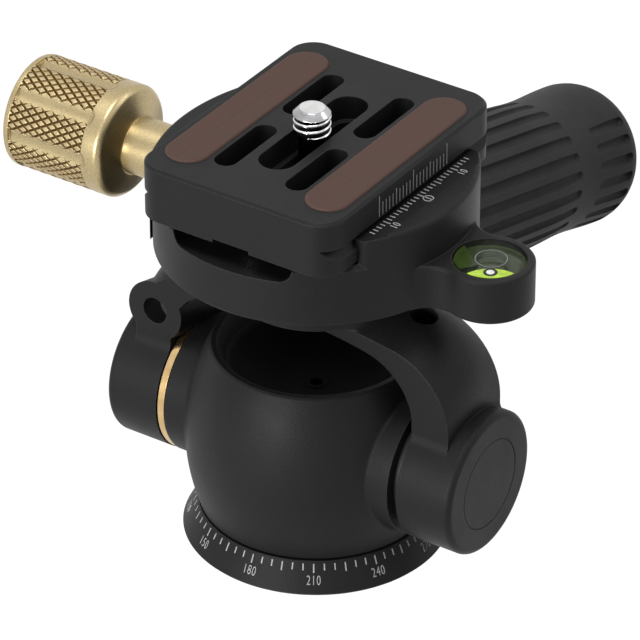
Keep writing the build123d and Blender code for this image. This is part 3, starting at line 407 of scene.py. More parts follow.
@dataclass(frozen=True)
class ClearPart:
    """A see-through or shining piece of the level: its lens, its liquid, or painted light that glows by
    itself.
    """

    name: str
    colour: Colour
    opacity: float
    rough: float = 0.05
    glow: float = 0.0
    haze_mm: float = 1.5
    deep_tone: float = 0.8
    specular: float = 0.5

    def make(self) -> bpy.types.Material:
        """Writes the material.

        Returns:
            The material.
        """
        mix = Recipe(self.name + "_finish")
        haze = mix.noise(self.haze_mm)
        deep = srgb(*(self.deep_tone * part for part in self.colour))
        base = mix.blend(mix.between(haze, 0.0, 1.0), srgb(*self.colour), deep)
        mix.dress(Base_Color=base, Alpha=self.opacity, Roughness=self.rough, Specular_IOR_Level=self.specular)
        # Painted light: the piece glows by itself.
        if self.glow:
            mix.dress(Emission_Color=base, Emission_Strength=self.glow)
        return mix.material


@dataclass(frozen=True)
class BubbleFinish:
    """The level's air bubble: a painted highlight that glows in its middle, and a dark rim painted where its
    curved wall turns away.
    """

    name: str = "air"
    middle: Colour = (248, 250, 246)
    rim: Colour = (22, 30, 12)
    rim_span: Pair = (0.38, 0.46)
    facing_blend: float = 0.5
    haze_mm: float = 0.8
    rough: Pair = (0.08, 0.14)
    glow: float = 0.4

    def make(self) -> bpy.types.Material:
        """Writes the material.

        Returns:
            The material.
        """
        mix = Recipe(self.name + "_finish")
        # Painted highlight and shade: the middle glows near white and the rim is painted dark where the
        # surface turns from the view.
        turned_away = mix.add("ShaderNodeLayerWeight", {"Blend": self.facing_blend}).outputs["Facing"]
        share = mix.between(turned_away, 0.0, 1.0, self.rim_span)
        tone = mix.blend(share, srgb(*self.middle), srgb(*self.rim))
        mix.dress(Base_Color=tone, Roughness=mix.between(mix.noise(self.haze_mm), *self.rough),
                  Emission_Color=tone, Emission_Strength=self.glow)
        return mix.material


@dataclass(frozen=True)
class LevelCupFinish:
    """The level's cup: green plastic, with random broad patches painted lighter as highlights on flat facets.
    """

    name: str = "level_cup"
    colour: Colour = (74, 92, 44)
    facet_highlight: Colour = (104, 116, 84)
    facet_mm: float = 5.0
    rough: float = 0.35
    grain_mm: float = 0.6
    grain_depth_mm: float = 0.01

    def make(self) -> bpy.types.Material:
        """Writes the material.

        Returns:
            The material.
        """
        mix = Recipe(self.name + "_finish")
        facets = mix.add("ShaderNodeTexVoronoi", {"Vector": mix.place, "Scale": 1 / (self.facet_mm * MM)})
        tone = mix.add("ShaderNodeSeparateColor", {"Color": facets.outputs["Color"]}).outputs[0]
        # Painted highlight: random broad patches are painted lighter.
        mix.dress(Base_Color=mix.blend(tone, srgb(*self.colour), srgb(*self.facet_highlight)), Roughness=self.rough,
                  Normal=mix.bump(mix.noise(self.grain_mm), self.grain_depth_mm))
        return mix.material


def only(piece: bpy.types.Object) -> None:
    """Selects one object and makes it active.

    Args:
        piece: the object.
    """
    bpy.ops.object.select_all(action="DESELECT")
    piece.select_set(True)
    bpy.context.view_layer.objects.active = piece


def settle(piece: bpy.types.Object, scale: float = 1.0) -> bpy.types.Object:
    """Puts a piece's place, turn and size into its mesh.

    Args:
        piece: the object to settle.
        scale: a last size change, such as millimetres to metres.
    Returns:
        The same object, at the origin, unturned and unscaled.
    """
    only(piece)
    bpy.ops.object.transform_apply(location=True, rotation=True, scale=True)
    if scale != 1.0:
        piece.scale = (scale, scale, scale)
        bpy.ops.object.transform_apply(location=False, rotation=False, scale=True)
    return piece


def pick(piece: bpy.types.Object, test: Callable[[Vector], bool]) -> None:
    """Goes into edit mode with just the points selected whose place passes the test.

    Args:
        piece: the mesh object.
        test: says for a point's place whether it is selected.
    """
    only(piece)
    bpy.ops.object.mode_set(mode="EDIT")
    bpy.ops.mesh.select_mode(type="VERT")
    bpy.ops.mesh.select_all(action="DESELECT")
    bpy.ops.object.mode_set(mode="OBJECT")
    for point in piece.data.vertices:
        point.select = test(point.co)
    bpy.ops.object.mode_set(mode="EDIT")


def paint(piece: bpy.types.Object, index: int, test: Callable[[Vector], bool]) -> None:
    """Gives some faces another of the piece's materials.

    Args:
        piece: the mesh object.
        index: the material's number on the piece.
        test: says for a point's place whether it counts; a face needs all its points.
    """
    pick(piece, test)
    piece.active_material_index = index
    bpy.ops.object.material_slot_assign()
    bpy.ops.object.mode_set(mode="OBJECT")


def slice_off(piece: bpy.types.Object, place: Sequence[float], away: Sequence[float], fill: bool = True,
              near: float = ON_PLANE_MM) -> None:
    """Cuts a piece by a plane and drops what lies past it.

    Args:
        piece: the mesh object, in millimetres.
        place: a point on the plane.
        away: the plane's normal, which points to the side that is dropped.
        fill: whether the cut is closed by a face.
        near: the distance at which a point counts as on the plane.
    """
    pick(piece, lambda point: True)
    bpy.ops.mesh.bisect(plane_co=place, plane_no=away, use_fill=fill, clear_outer=True, threshold=near)
    bpy.ops.object.mode_set(mode="OBJECT")


def tidy(piece: bpy.types.Object, near: float = SAME_PLACE_MM, smooth_deg: float = 30.0) -> bpy.types.Object:
    """Merges doubles, turns the faces outwards and smooths the shading.

    Args:
        piece: the mesh object, in millimetres.
        near: the distance that still counts as one point.
        smooth_deg: faces that meet below this angle shade smoothly.
    Returns:
        The same object.
    """
    pick(piece, lambda place: True)
    bpy.ops.mesh.remove_doubles(threshold=near)
    bpy.ops.mesh.select_all(action="SELECT")
    bpy.ops.mesh.normals_make_consistent(inside=False)
    bpy.ops.object.mode_set(mode="OBJECT")
    bpy.ops.object.shade_smooth_by_angle(angle=math.radians(smooth_deg))
    return piece


def trace(name: str, outline: Sequence[Pair]) -> bpy.types.Object:
    """Draws an open outline point by point.

    Args:
        name: the new object's name.
        outline: pairs of radius and height, in millimetres.
    Returns:
        The outline as edges in the XZ plane.
    """
    bpy.ops.object.select_all(action="DESELECT")
    start = (outline[0][0], 0.0, outline[0][1])
    bpy.ops.mesh.primitive_plane_add(location=start)
    piece = bpy.context.object
    piece.name = name
    bpy.ops.object.mode_set(mode="EDIT")
    bpy.ops.mesh.merge(type="CENTER")
    for (r_from, h_from), (r_to, h_to) in zip(outline, outline[1:]):
        step = (r_to - r_from, 0.0, h_to - h_from)
        bpy.ops.mesh.extrude_vertices_move(TRANSFORM_OT_translate={"value": step})
    bpy.ops.object.mode_set(mode="OBJECT")
    return settle(piece)


def turned(name: str, outline: Sequence[Pair], steps: int = 96) -> bpy.types.Object:
    """Turns an outline round the Z axis.

    Args:
        name: the new object's name.
        outline: pairs of radius and height, in millimetres, from axis to axis.
        steps: how many sides the round has.
    Returns:
        The closed turned piece, still in millimetres.
    """
    piece = trace(name, outline)
    pick(piece, lambda place: True)
    bpy.ops.mesh.spin(steps=steps, angle=FULL_TURN, center=(0, 0, 0), axis=UP)
    bpy.ops.object.mode_set(mode="OBJECT")
    return tidy(piece)


def wound(name: str, outline: Sequence[Pair], pitch: float, ends: Pair, steps: int) -> bpy.types.Object:
    """Winds a thread's outline up the Z axis and trims its two ends level.

    Args:
        name: the new object's name.
        outline: pairs of radius and height, in millimetres, drawn two turns below the lower end.
        pitch: the rise of one turn.
        ends: the heights between which the thread is kept.
        steps: how many sides a turn has.
    Returns:
        The thread, still in millimetres.
    """
    low, high = ends
    piece = trace(name, outline)
    wind = piece.modifiers.new("wind", "SCREW")
    wind.axis = "Z"
    wind.angle = FULL_TURN
    wind.screw_offset = pitch
    wind.iterations = round((high - low) / pitch) + SPARE_TURNS
    wind.steps = steps
    wind.render_steps = steps
    only(piece)
    bpy.ops.object.modifier_apply(modifier=wind.name)
    slice_off(piece, (0, 0, low), DOWN)
    slice_off(piece, (0, 0, high), UP)
    return piece


def rounded_corner(corner: Pair, before: Pair, after: Pair, radius: float, points: int = 5) -> list[Pair]:
    """Rounds one corner of an outline.

    Args:
        corner: the sharp corner.
        before, after: the outline's points on each side of it.
        radius: how far from the corner the round starts.
        points: how many steps the round has.
    Returns:
        The points that stand for the corner.
    """
    middle = Vector(corner)
    first = middle + (Vector(before) - middle).normalized() * radius
    last = middle + (Vector(after) - middle).normalized() * radius
    curve = []
    for index in range(points + 1):
        t = index / points
        curve.append(tuple(first * (1 - t) ** 2 + middle * 2 * t * (1 - t) + last * t * t))
    return curve


def softened(outline: Sequence[Pair], rounds: dict[int, float]) -> list[Pair]:
    """Rounds the named corners of an outline.

    Args:
        outline: the outline's corners.
        rounds: corner number to its radius.
    Returns:
        The outline with its rounds.
    """
    made: list[Pair] = []
    for index, corner in enumerate(outline):
        if index in rounds:
            made += rounded_corner(corner, outline[index - 1], outline[index + 1], rounds[index])
        else:
            made.append(corner)
    return made


def work(piece: bpy.types.Object, tool: bpy.types.Object, tooling: Tooling) -> bpy.types.Object:
    """Cuts a tool out of a piece, joins it on or keeps what they share, and removes the tool.

    Args:
        piece: the mesh that stays.
        tool: the mesh that is used up.
        tooling: what the tool does.
    Returns:
        The changed piece.
    """
    only(piece)
    change = piece.modifiers.new("tooling", "BOOLEAN")
    change.operation = tooling.value
    change.solver = "EXACT"
    change.object = tool
    bpy.ops.object.modifier_apply(modifier=change.name)
    bpy.data.objects.remove(tool)
    return piece


def join(pieces: Sequence[bpy.types.Object], name: str) -> bpy.types.Object:
    """Makes one object of several.

    Args:
        pieces: the mesh objects.
        name: the joined object's name.
    Returns:
        The joined object.
    """
    only(pieces[0])
    for piece in pieces:
        piece.select_set(True)
    bpy.ops.object.join()
    pieces[0].name = name
    return pieces[0]


def copy_of(piece: bpy.types.Object, place: Matrix) -> bpy.types.Object:
    """Copies a piece with its own mesh.

    Args:
        piece: the pattern.
        place: where the copy is moved to.
    Returns:
        The copy, with its place in its mesh.
    """
    twin = piece.copy()
    twin.data = piece.data.copy()
    bpy.context.scene.collection.objects.link(twin)
    twin.matrix_world = place @ piece.matrix_world
    return settle(twin)


def stand(across: Vector, upward: Vector, origin: Vector) -> Matrix:
    """Finds the place of a flat piece that was drawn in XY.

    Args:
        across: where its X goes.
        upward: where its Y goes.
        origin: where it sits, in metres.
    Returns:
        The matrix that puts it there.
    """
    turn = Matrix((across, upward, across.cross(upward))).transposed().to_4x4()
    return Matrix.Translation(origin) @ turn


def discard(patterns: Iterable[bpy.types.Object]) -> None:
    """Removes patterns that have been copied.

    Args:
        patterns: the objects to remove.
    """
    for pattern in patterns:
        bpy.data.objects.remove(pattern)


def hand_over(piece: bpy.types.Object, body: str, finish: bpy.types.Material,
              stands_for: Iterable[str] = ()) -> None:
    """Gives a finished piece its material and body, hides the CAD nodes that it stands for, and logs it.

    Args:
        piece: the finished mesh.
        body: the body that it rides on.
        finish: its material, unless its builder has given it some.
        stands_for: the CAD nodes that it replaces.
    """
    if not piece.data.materials:
        piece.data.materials.append(finish)
    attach(piece, body)
    for node in stands_for:
        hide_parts(node)
    log.info("%s: %d faces on %s", piece.name, len(piece.data.polygons), body)


@dataclass
class MarkMaker:
    """Makes painted lines and figures, as thin raised films."""

    film: float = 0.03
    sunk: float = 0.03
    line_width: float = 0.22
    line_round: float = 0.3
    round_steps: int = 2
    figure_share: float = 0.7
    figure_space: float = 1.12
    curve_steps: int = 4
    ring_sides: int = 40

    def line(self, name: str, length: float, width: float | None = None) -> bpy.types.Object:
        """Draws a line upward from the origin, with softened ends.

        Args:
            name: the line's name.
            length: its length, in millimetres.
            width: its width, or None for the usual one.
        Returns:
            The line in metres, flat in XY.
        """
        wide = width or self.line_width
        bpy.ops.object.select_all(action="DESELECT")
        bpy.ops.mesh.primitive_plane_add(size=1, location=(0, length / 2, -self.sunk))
        piece = bpy.context.object
        piece.name = name
        piece.scale = (wide, length, 1)
        settle(piece)
        pick(piece, lambda place: True)
        bpy.ops.mesh.bevel(offset=wide * self.line_round, segments=self.round_steps, affect="VERTICES")
        bpy.ops.mesh.select_all(action="SELECT")
        bpy.ops.mesh.extrude_region_move(TRANSFORM_OT_translate={"value": (0, 0, self.sunk + self.film)})
        bpy.ops.mesh.select_all(action="SELECT")
        bpy.ops.mesh.normals_make_consistent(inside=False)
        bpy.ops.object.mode_set(mode="OBJECT")
        return settle(piece, MM)

    def figure(self, text: str, height: float, share: float, swell: float) -> bpy.types.Object:
        """Writes a number, centred on the origin, as a mesh.

        Args:
            text: the number.
            height: the height of its figures, in millimetres.
            share: how far the figures are narrowed.
            swell: how much bolder their strokes are, as a share of the height.
        Returns:
            The number in metres, flat in XY.
        """
        bpy.ops.object.select_all(action="DESELECT")
        bpy.ops.object.text_add()
        piece = bpy.context.object
        piece.name = "figure_" + text
        piece.data.body = text
        piece.data.align_x = "CENTER"
        piece.data.align_y = "CENTER"
        piece.data.size = height / self.figure_share
        piece.data.space_character = self.figure_space
        piece.data.offset = swell * height
        piece.data.extrude = (self.film + self.sunk) / 2
        piece.data.resolution_u = self.curve_steps
        bpy.ops.object.convert(target="MESH")
        piece.location.z = (self.film - self.sunk) / 2
        piece.scale.x = share
        return settle(piece, MM)

    def ring(self, name: str, radius: float, width: float, sides: int | None = None) -> bpy.types.Object:
        """Draws a painted circle round the origin.

        Args:
            name: the ring's name.
            radius: its outer radius, in millimetres.
            width: the line's width.
            sides: how many sides it has, or None for the usual number.
        Returns:
            The ring in metres, flat in XY.
        """
        outline = [(radius - width, -self.sunk), (radius, -self.sunk), (radius, self.film),
                   (radius - width, self.film), (radius - width, -self.sunk)]
        return settle(turned(name, outline, sides or self.ring_sides), MM)


@dataclass
class PanBase:
    """The degree scale on the base disc's cone."""

    marks: MarkMaker
    top_r: float = 20.0
    low_r: float = 22.7
    top_z: float = 5.4
    low_z: float = 0.5
    front_turn_deg: float = 32.6
    front_reading: float = 210.0
    step_deg: float = 5.0
    long_every: int = 3
    figure_every: int = 6
    tick_top: float = 0.45
    short: float = 1.15
    long: float = 1.55
    figure_h: float = 1.62
    figure_share: float = 0.66
    figure_swell: float = -0.012
    figure_gap: float = 0.5

    def slope_place(self, degrees: float, down: float) -> Matrix:
        """Finds a mark's place on the cone.

        Args:
            degrees: the scale's reading there.
            down: the distance down the slope from its top, in millimetres.
        Returns:
            The frame whose Y points up the slope and whose Z points out of it.
        """
        turn = math.radians(self.front_turn_deg - self.front_reading + degrees)
        outward = Vector((math.sin(turn), -math.cos(turn), 0.0))
        across = Vector((math.cos(turn), math.sin(turn), 0.0))
        upward = (outward * (self.top_r - self.low_r) + Vector((0, 0, self.top_z - self.low_z))).normalized()
        top = outward * self.top_r + Vector((0, 0, self.top_z))
        return stand(across, upward, (top - upward * down) * MM)

    def build(self) -> bpy.types.Object:
        """Models the marks and the figures round the cone.

        Returns:
            The whole scale as one piece.
        """
        lengths = {Tick.SHORT: self.short, Tick.LONG: self.long}
        patterns = {kind: self.marks.line("tick_" + kind.value, length) for kind, length in lengths.items()}
        made = []
        count = round(FULL_TURN_DEG / self.step_deg)
        for index in range(count):
            kind = Tick.SHORT if index % self.long_every else Tick.LONG
            reach = self.tick_top + lengths[kind]
            made.append(copy_of(patterns[kind], self.slope_place(index * self.step_deg, reach)))
        down = self.tick_top + self.long + self.figure_gap + self.figure_h / 2
        for index in range(0, count, self.figure_every):
            reading = index * self.step_deg
            number = self.marks.figure(f"{reading:.0f}", self.figure_h, self.figure_share, self.figure_swell)
            made.append(copy_of(number, self.slope_place(reading, down)))
            discard([number])
        discard(patterns.values())
        return join(made, "pan_scale")


@dataclass
class ClampPlatform:
    """The clamp's painted scale on the fixed jaw, and what shows in the level's lens, with the painted light
    and reflections there.
    """

    marks: MarkMaker
    strip_z: float = 71.35
    strip_x: float = 19.66
    ticks_each_way: int = 14
    long_every: int = 5
    short: float = 1.0
    long: float = 1.4
    numbered: int = 10
    figure_h: float = 1.4
    figure_share: float = 0.8
    figure_x: float = 22.02
    zero_x: float = 21.82
    zero_r: float = 0.92
    zero_line: float = 0.17
    stroke: Pair = (21.2, 22.78)
    stroke_line: float = 0.18
    lug_x: float = 33.65
    lens_top: float = 63.99
    circle_at: Pair = (33.85, 0.15)
    circle_r: float = 2.80
    circle_line: float = 0.42
    circle_sides: int = 64
    glint_r: float = 2.66
    glint_line: float = 0.09
    glint_lift: float = 0.01
    vial_r: float = 5.75
    glow_near: float = 2.95
    film_top: float = 63.92
    film_t: float = 0.08
    patch_slant: float = 0.35
    patch_far: float = -2.4
    patch_lean: float = 0.4
    patch_near: float = 0.9
    ball_ahead: float = 4.08
    ball_r: float = 1.18
    ball_shine_r: float = 0.68
    ball_lift: float = 0.05
    view_turn: float = math.radians(33.8)

    def strip_place(self, x: float, y: float) -> Matrix:
        """Finds a place on the strip, whose Y points back to the plate."""
        return stand(Vector((0, 1, 0)), Vector((-1, 0, 0)), Vector((x, y, self.strip_z)) * MM)

    def build_strip(self) -> bpy.types.Object:
        """Models the clamp's scale.

        Returns:
            The strip's marks as one piece.
        """
        lengths = {Tick.SHORT: self.short, Tick.LONG: self.long}
        patterns = {kind: self.marks.line("strip_" + kind.value, length) for kind, length in lengths.items()}
        stroke = self.marks.line("strip_stroke", self.stroke[1] - self.stroke[0], self.stroke_line)
        number = self.marks.figure(f"{self.numbered}", self.figure_h, self.figure_share, 0.0)
        circle = self.marks.ring("strip_zero", self.zero_r, self.zero_line)
        made = []
        for y in range(-self.ticks_each_way, self.ticks_each_way + 1):
            kind = Tick.SHORT if y % self.long_every else Tick.LONG
            made.append(copy_of(patterns[kind], self.strip_place(self.strip_x + lengths[kind], y)))
        for y in (-self.numbered, self.numbered):
            made.append(copy_of(number, self.strip_place(self.figure_x, y)))
        made.append(copy_of(circle, self.strip_place(self.zero_x, 0)))
        made.append(copy_of(stroke, self.strip_place(self.stroke[1], 0)))
        discard([*patterns.values(), stroke, number, circle])
        return join(made, "clamp_scale")

    def build_circle(self, glint: bool) -> bpy.types.Object:
        """Models the ring on the lens that the bubble is set to, and the painted highlight line on it.

        Args:
            glint: whether this is the painted highlight, a thin pale line on the black ring.
        Returns:
            The ring.
        """
        radius, line = (self.glint_r, self.glint_line) if glint else (self.circle_r, self.circle_line)
        name = "level_ring_glint" if glint else "level_ring"
        ring = self.marks.ring(name, radius, line, self.circle_sides)
        lift = self.glint_lift if glint else 0.0
        ring.location = Vector((*self.circle_at, self.lens_top - self.marks.film + lift)) * MM
        return settle(ring)

    def film_disc(self, name: str, ahead: float, radius: float, lift: float = 0.0) -> bpy.types.Object:
        """Models a thin disc in the lens, moved towards the front of the level.

        Args:
            name: the disc's name.
            ahead: how far it is moved, in millimetres.
            radius: its radius.
            lift: how far it stands above the other films.
        Returns:
            The disc, in millimetres.
        """
        top = self.film_top + lift
        outline = [(0, top - self.film_t), (radius, top - self.film_t), (radius, top), (0, top)]
        disc = turned(name, outline)
        disc.location = self.in_front(ahead)
        return settle(disc)

    def in_front(self, ahead: float) -> Vector:
        """Finds the place that lies some millimetres in front of the level's middle, at height zero."""
        return Vector((self.lug_x + ahead * math.sin(self.view_turn), -ahead * math.cos(self.view_turn), 0))

    def build_painted_glow(self) -> bpy.types.Object:
        """Models a painted glow: the bright sickle, which shines by itself, where the liquid's front edge
        gathers the light.

        Returns:
            The sickle, in metres.
        """
        whole = self.film_disc("level_sickle", 0.0, self.vial_r)
        tool = self.film_disc("sickle_tool", self.glow_near + self.vial_r, self.vial_r)
        return settle(tidy(work(whole, tool, Tooling.KEEP)), MM)

    def build_ball_highlight(self) -> bpy.types.Object:
        """Models a painted highlight: the bright middle of the steel ball that seals the level, which glows
        by itself.

        Returns:
            The middle, in metres.
        """
        return settle(self.film_disc("seal_ball_highlight", self.ball_ahead, self.ball_shine_r, self.ball_lift), MM)

    def build_ball_rim_reflection(self) -> bpy.types.Object:
        """Models a painted dark reflection: the dark rim of the sealing ball.

        Returns:
            The rim, in metres.
        """
        ring = self.marks.ring("seal_ball_rim_reflection", self.ball_r, self.ball_r - self.ball_shine_r)
        height = Vector(UP) * (self.film_top + self.ball_lift - self.marks.film)
        ring.location = (self.in_front(self.ball_ahead) + height) * MM
        return settle(ring)

    def build_painted_reflection(self) -> bpy.types.Object:
        """Models a painted reflection: a darker green patch at the level's left side.

        Returns:
            The facet, in metres.
        """
        whole = self.film_disc("level_reflection_patch", 0.0, self.vial_r)
        left = Vector((-math.cos(self.view_turn), -math.sin(self.view_turn), 0))
        ahead = Vector((math.sin(self.view_turn), -math.cos(self.view_turn), 0))
        planes = ((-left - self.patch_slant * ahead, self.patch_far),
                  (ahead - self.patch_lean * left, self.patch_near))
        for away, reach in planes:
            slice_off(whole, self.in_front(0.0) + away.normalized() * reach, away.normalized())
        return settle(tidy(whole), MM)


@dataclass
class CameraPlate:
    """The camera plate's wall scale and its two rubber pads."""

    marks: MarkMaker
    centre: Pair = (0.5, -0.5)
    wall_x: float = 19.5
    marks_y: float = -0.95
    marks_each_way: int = 10
    middle_every: int = 5
    low_z: float = 72.6
    short: float = 2.4
    middle: float = 2.9
    long: float = 3.85
    line: float = 0.2
    pad_w: float = 7.8
    pad_l: float = 41.6
    pad_x: float = 13.6
    pad_low: float = 76.6
    pad_top: float = 77.7
    pad_round: float = 0.42
    pad_round_steps: int = 5
    pad_end_steps: int = 20
    pad_smooth_deg: float = 50.0

    def build_wall_scale(self) -> bpy.types.Object:
        """Models the upright lines on the plate's right wall.

        Returns:
            The lines as one piece.
        """
        lengths = {Tick.SHORT: self.short, Tick.MIDDLE: self.middle, Tick.LONG: self.long}
        patterns = {kind: self.marks.line("wall_mark", length, self.line) for kind, length in lengths.items()}
        made = []
        for step in range(-self.marks_each_way, self.marks_each_way + 1):
            kind = Tick.SHORT if step % self.middle_every else Tick.MIDDLE
            if step % self.marks_each_way == 0:
                kind = Tick.LONG
            place = Vector((self.wall_x, self.marks_y + step, self.low_z)) * MM
            made.append(copy_of(patterns[kind], stand(Vector((0, 1, 0)), Vector(UP), place)))
        discard(patterns.values())
        return join(made, "plate_scale")

    def build_pad(self, side: Side) -> bpy.types.Object:
        """Models one soft-edged rubber pad.

        Args:
            side: the side of the plate that it lies on.
        Returns:
            The pad.
        """
        bpy.ops.object.select_all(action="DESELECT")
        x = self.centre[0] + side.value * self.pad_x
        bpy.ops.mesh.primitive_plane_add(size=1, location=(x, self.centre[1], self.pad_low))
        piece = bpy.context.object
        piece.name = "soft_pad_" + side.name.lower()
        piece.scale = (self.pad_w, self.pad_l, 1)
        settle(piece)
        pick(piece, lambda place: True)
        bpy.ops.mesh.bevel(offset=self.pad_w / 2 - 2 * SAME_PLACE_MM, segments=self.pad_end_steps,
                           affect="VERTICES")
        bpy.ops.mesh.select_all(action="SELECT")
        rise = self.pad_top - self.pad_low
        bpy.ops.mesh.extrude_region_move(TRANSFORM_OT_translate={"value": (0, 0, rise)})
        bpy.ops.object.mode_set(mode="OBJECT")
        tidy(piece)
        pick(piece, lambda place: place.z > self.pad_top - SAME_PLACE_MM)
        bpy.ops.mesh.bevel(offset=self.pad_round, segments=self.pad_round_steps, affect="EDGES")
        bpy.ops.object.mode_set(mode="OBJECT")
        return settle(tidy(piece, smooth_deg=self.pad_smooth_deg), MM)


@dataclass
class CameraScrew:
    """The camera screw with a real rolled thread, its chamfered tip and its slotted head."""

    polish: bpy.types.Material
    root_shade_neck_reflection: bpy.types.Material
    chamfer_shade: bpy.types.Material
    at: Pair = (0.5, -1.9)
    crest_r: float = 3.175
    root_r: float = 2.45
    tip_r: float = 2.2
    neck_r: float = 2.3
    neck_cone: float = 0.2
    head_r: float = 4.4
    head_low: float = 68.3
    head_top: float = 70.9
    head_round: float = 0.25
    thread_low: float = 78.1
    thread_top: float = 81.4
    thread_gap: float = 0.05
    collar_low: float = 81.15
    collar_rise: float = 0.15
    collar_in: float = 0.03
    collar_round: float = 0.14
    tip_z: float = 82.4
    tip_round: float = 0.12
    pitch: float = 1.27
    thread_sunk: float = 0.3
    coin_slot_w: float = 1.6
    coin_slot_d: float = 1.4
    painted_dark_r: float = 3.0
    chamfer_low: float = 81.34
    chamfer_r: float = 2.07
    steps: int = 72
    flank: tuple[Pair, ...] = ((0.15, 0.66), (0.70, 0.42), (0.94, 0.20))
    smooth_deg: float = 50.0

    def build(self) -> bpy.types.Object:
        """Models the screw.

        Returns:
            The whole screw in metres, in its slot.
        """
        collar_r = self.crest_r - self.collar_in
        outline = [(0, self.head_low), (self.head_r, self.head_low), (self.head_r, self.head_top),
                   (self.neck_r, self.head_top), (self.neck_r, self.thread_low - self.neck_cone),
                   (self.root_r, self.thread_low), (self.root_r, self.collar_low),
                   (collar_r, self.collar_low + self.collar_rise), (collar_r, self.thread_top),
                   (self.tip_r, self.tip_z), (0, self.tip_z)]
        rounds = {1: self.head_round, 2: self.head_round, 8: self.collar_round, 9: self.tip_round}
        body = turned("threaded_camera_screw", softened(outline, rounds), self.steps)
        self.slot_head(body)
        whole = join([body, self.thread()], "threaded_camera_screw")
        for finish in (self.polish, self.root_shade_neck_reflection, self.chamfer_shade):
            whole.data.materials.append(finish)
        # Painted shade and reflection: the thread's roots get painted shade and the neck below them a painted
        # dark reflection, both near black.
        paint(whole, 1, lambda place: math.hypot(place.x, place.y) < self.painted_dark_r and
              self.head_top < place.z < self.thread_top)
        # Painted shade: the sloped ring round the flat tip gets a greyer copy of the polished steel.
        paint(whole, 2, lambda place: math.hypot(place.x, place.y) > self.chamfer_r and
              place.z > self.chamfer_low)
        whole.location = (*self.at, 0)
        return settle(whole, MM)

    def slot_head(self, body: bpy.types.Object) -> None:
        """Cuts the coin slot into the underside of the head.

        Args:
            body: the turned screw, in millimetres.
        """
        bpy.ops.object.select_all(action="DESELECT")
        bpy.ops.mesh.primitive_cube_add(size=1, location=(0, 0, self.head_low))
        tool = bpy.context.object
        tool.scale = (self.coin_slot_w, 3 * self.head_r, 2 * self.coin_slot_d)
        work(body, settle(tool), Tooling.CUT)

    def thread(self) -> bpy.types.Object:
        """Winds the thread's ridge.

        Returns:
            The closed ridge, in millimetres.
        """
        half = self.pitch / 2
        low = self.thread_low - 2 * self.pitch
        inner = self.root_r - self.thread_sunk
        depth = self.crest_r - self.root_r
        rising = [(self.root_r + out * depth, low - back * half) for out, back in self.flank]
        falling = [(self.root_r + out * depth, low + back * half) for out, back in reversed(self.flank)]
        outline = [(inner, low - half), (self.root_r, low - half), *rising, (self.crest_r, low), *falling,
                   (self.root_r, low + half)]
        ends = (self.thread_low, self.thread_top - self.thread_gap)
        ridge = wound("thread_ridge", outline, self.pitch, ends, self.steps)
        return tidy(ridge, smooth_deg=self.smooth_deg)


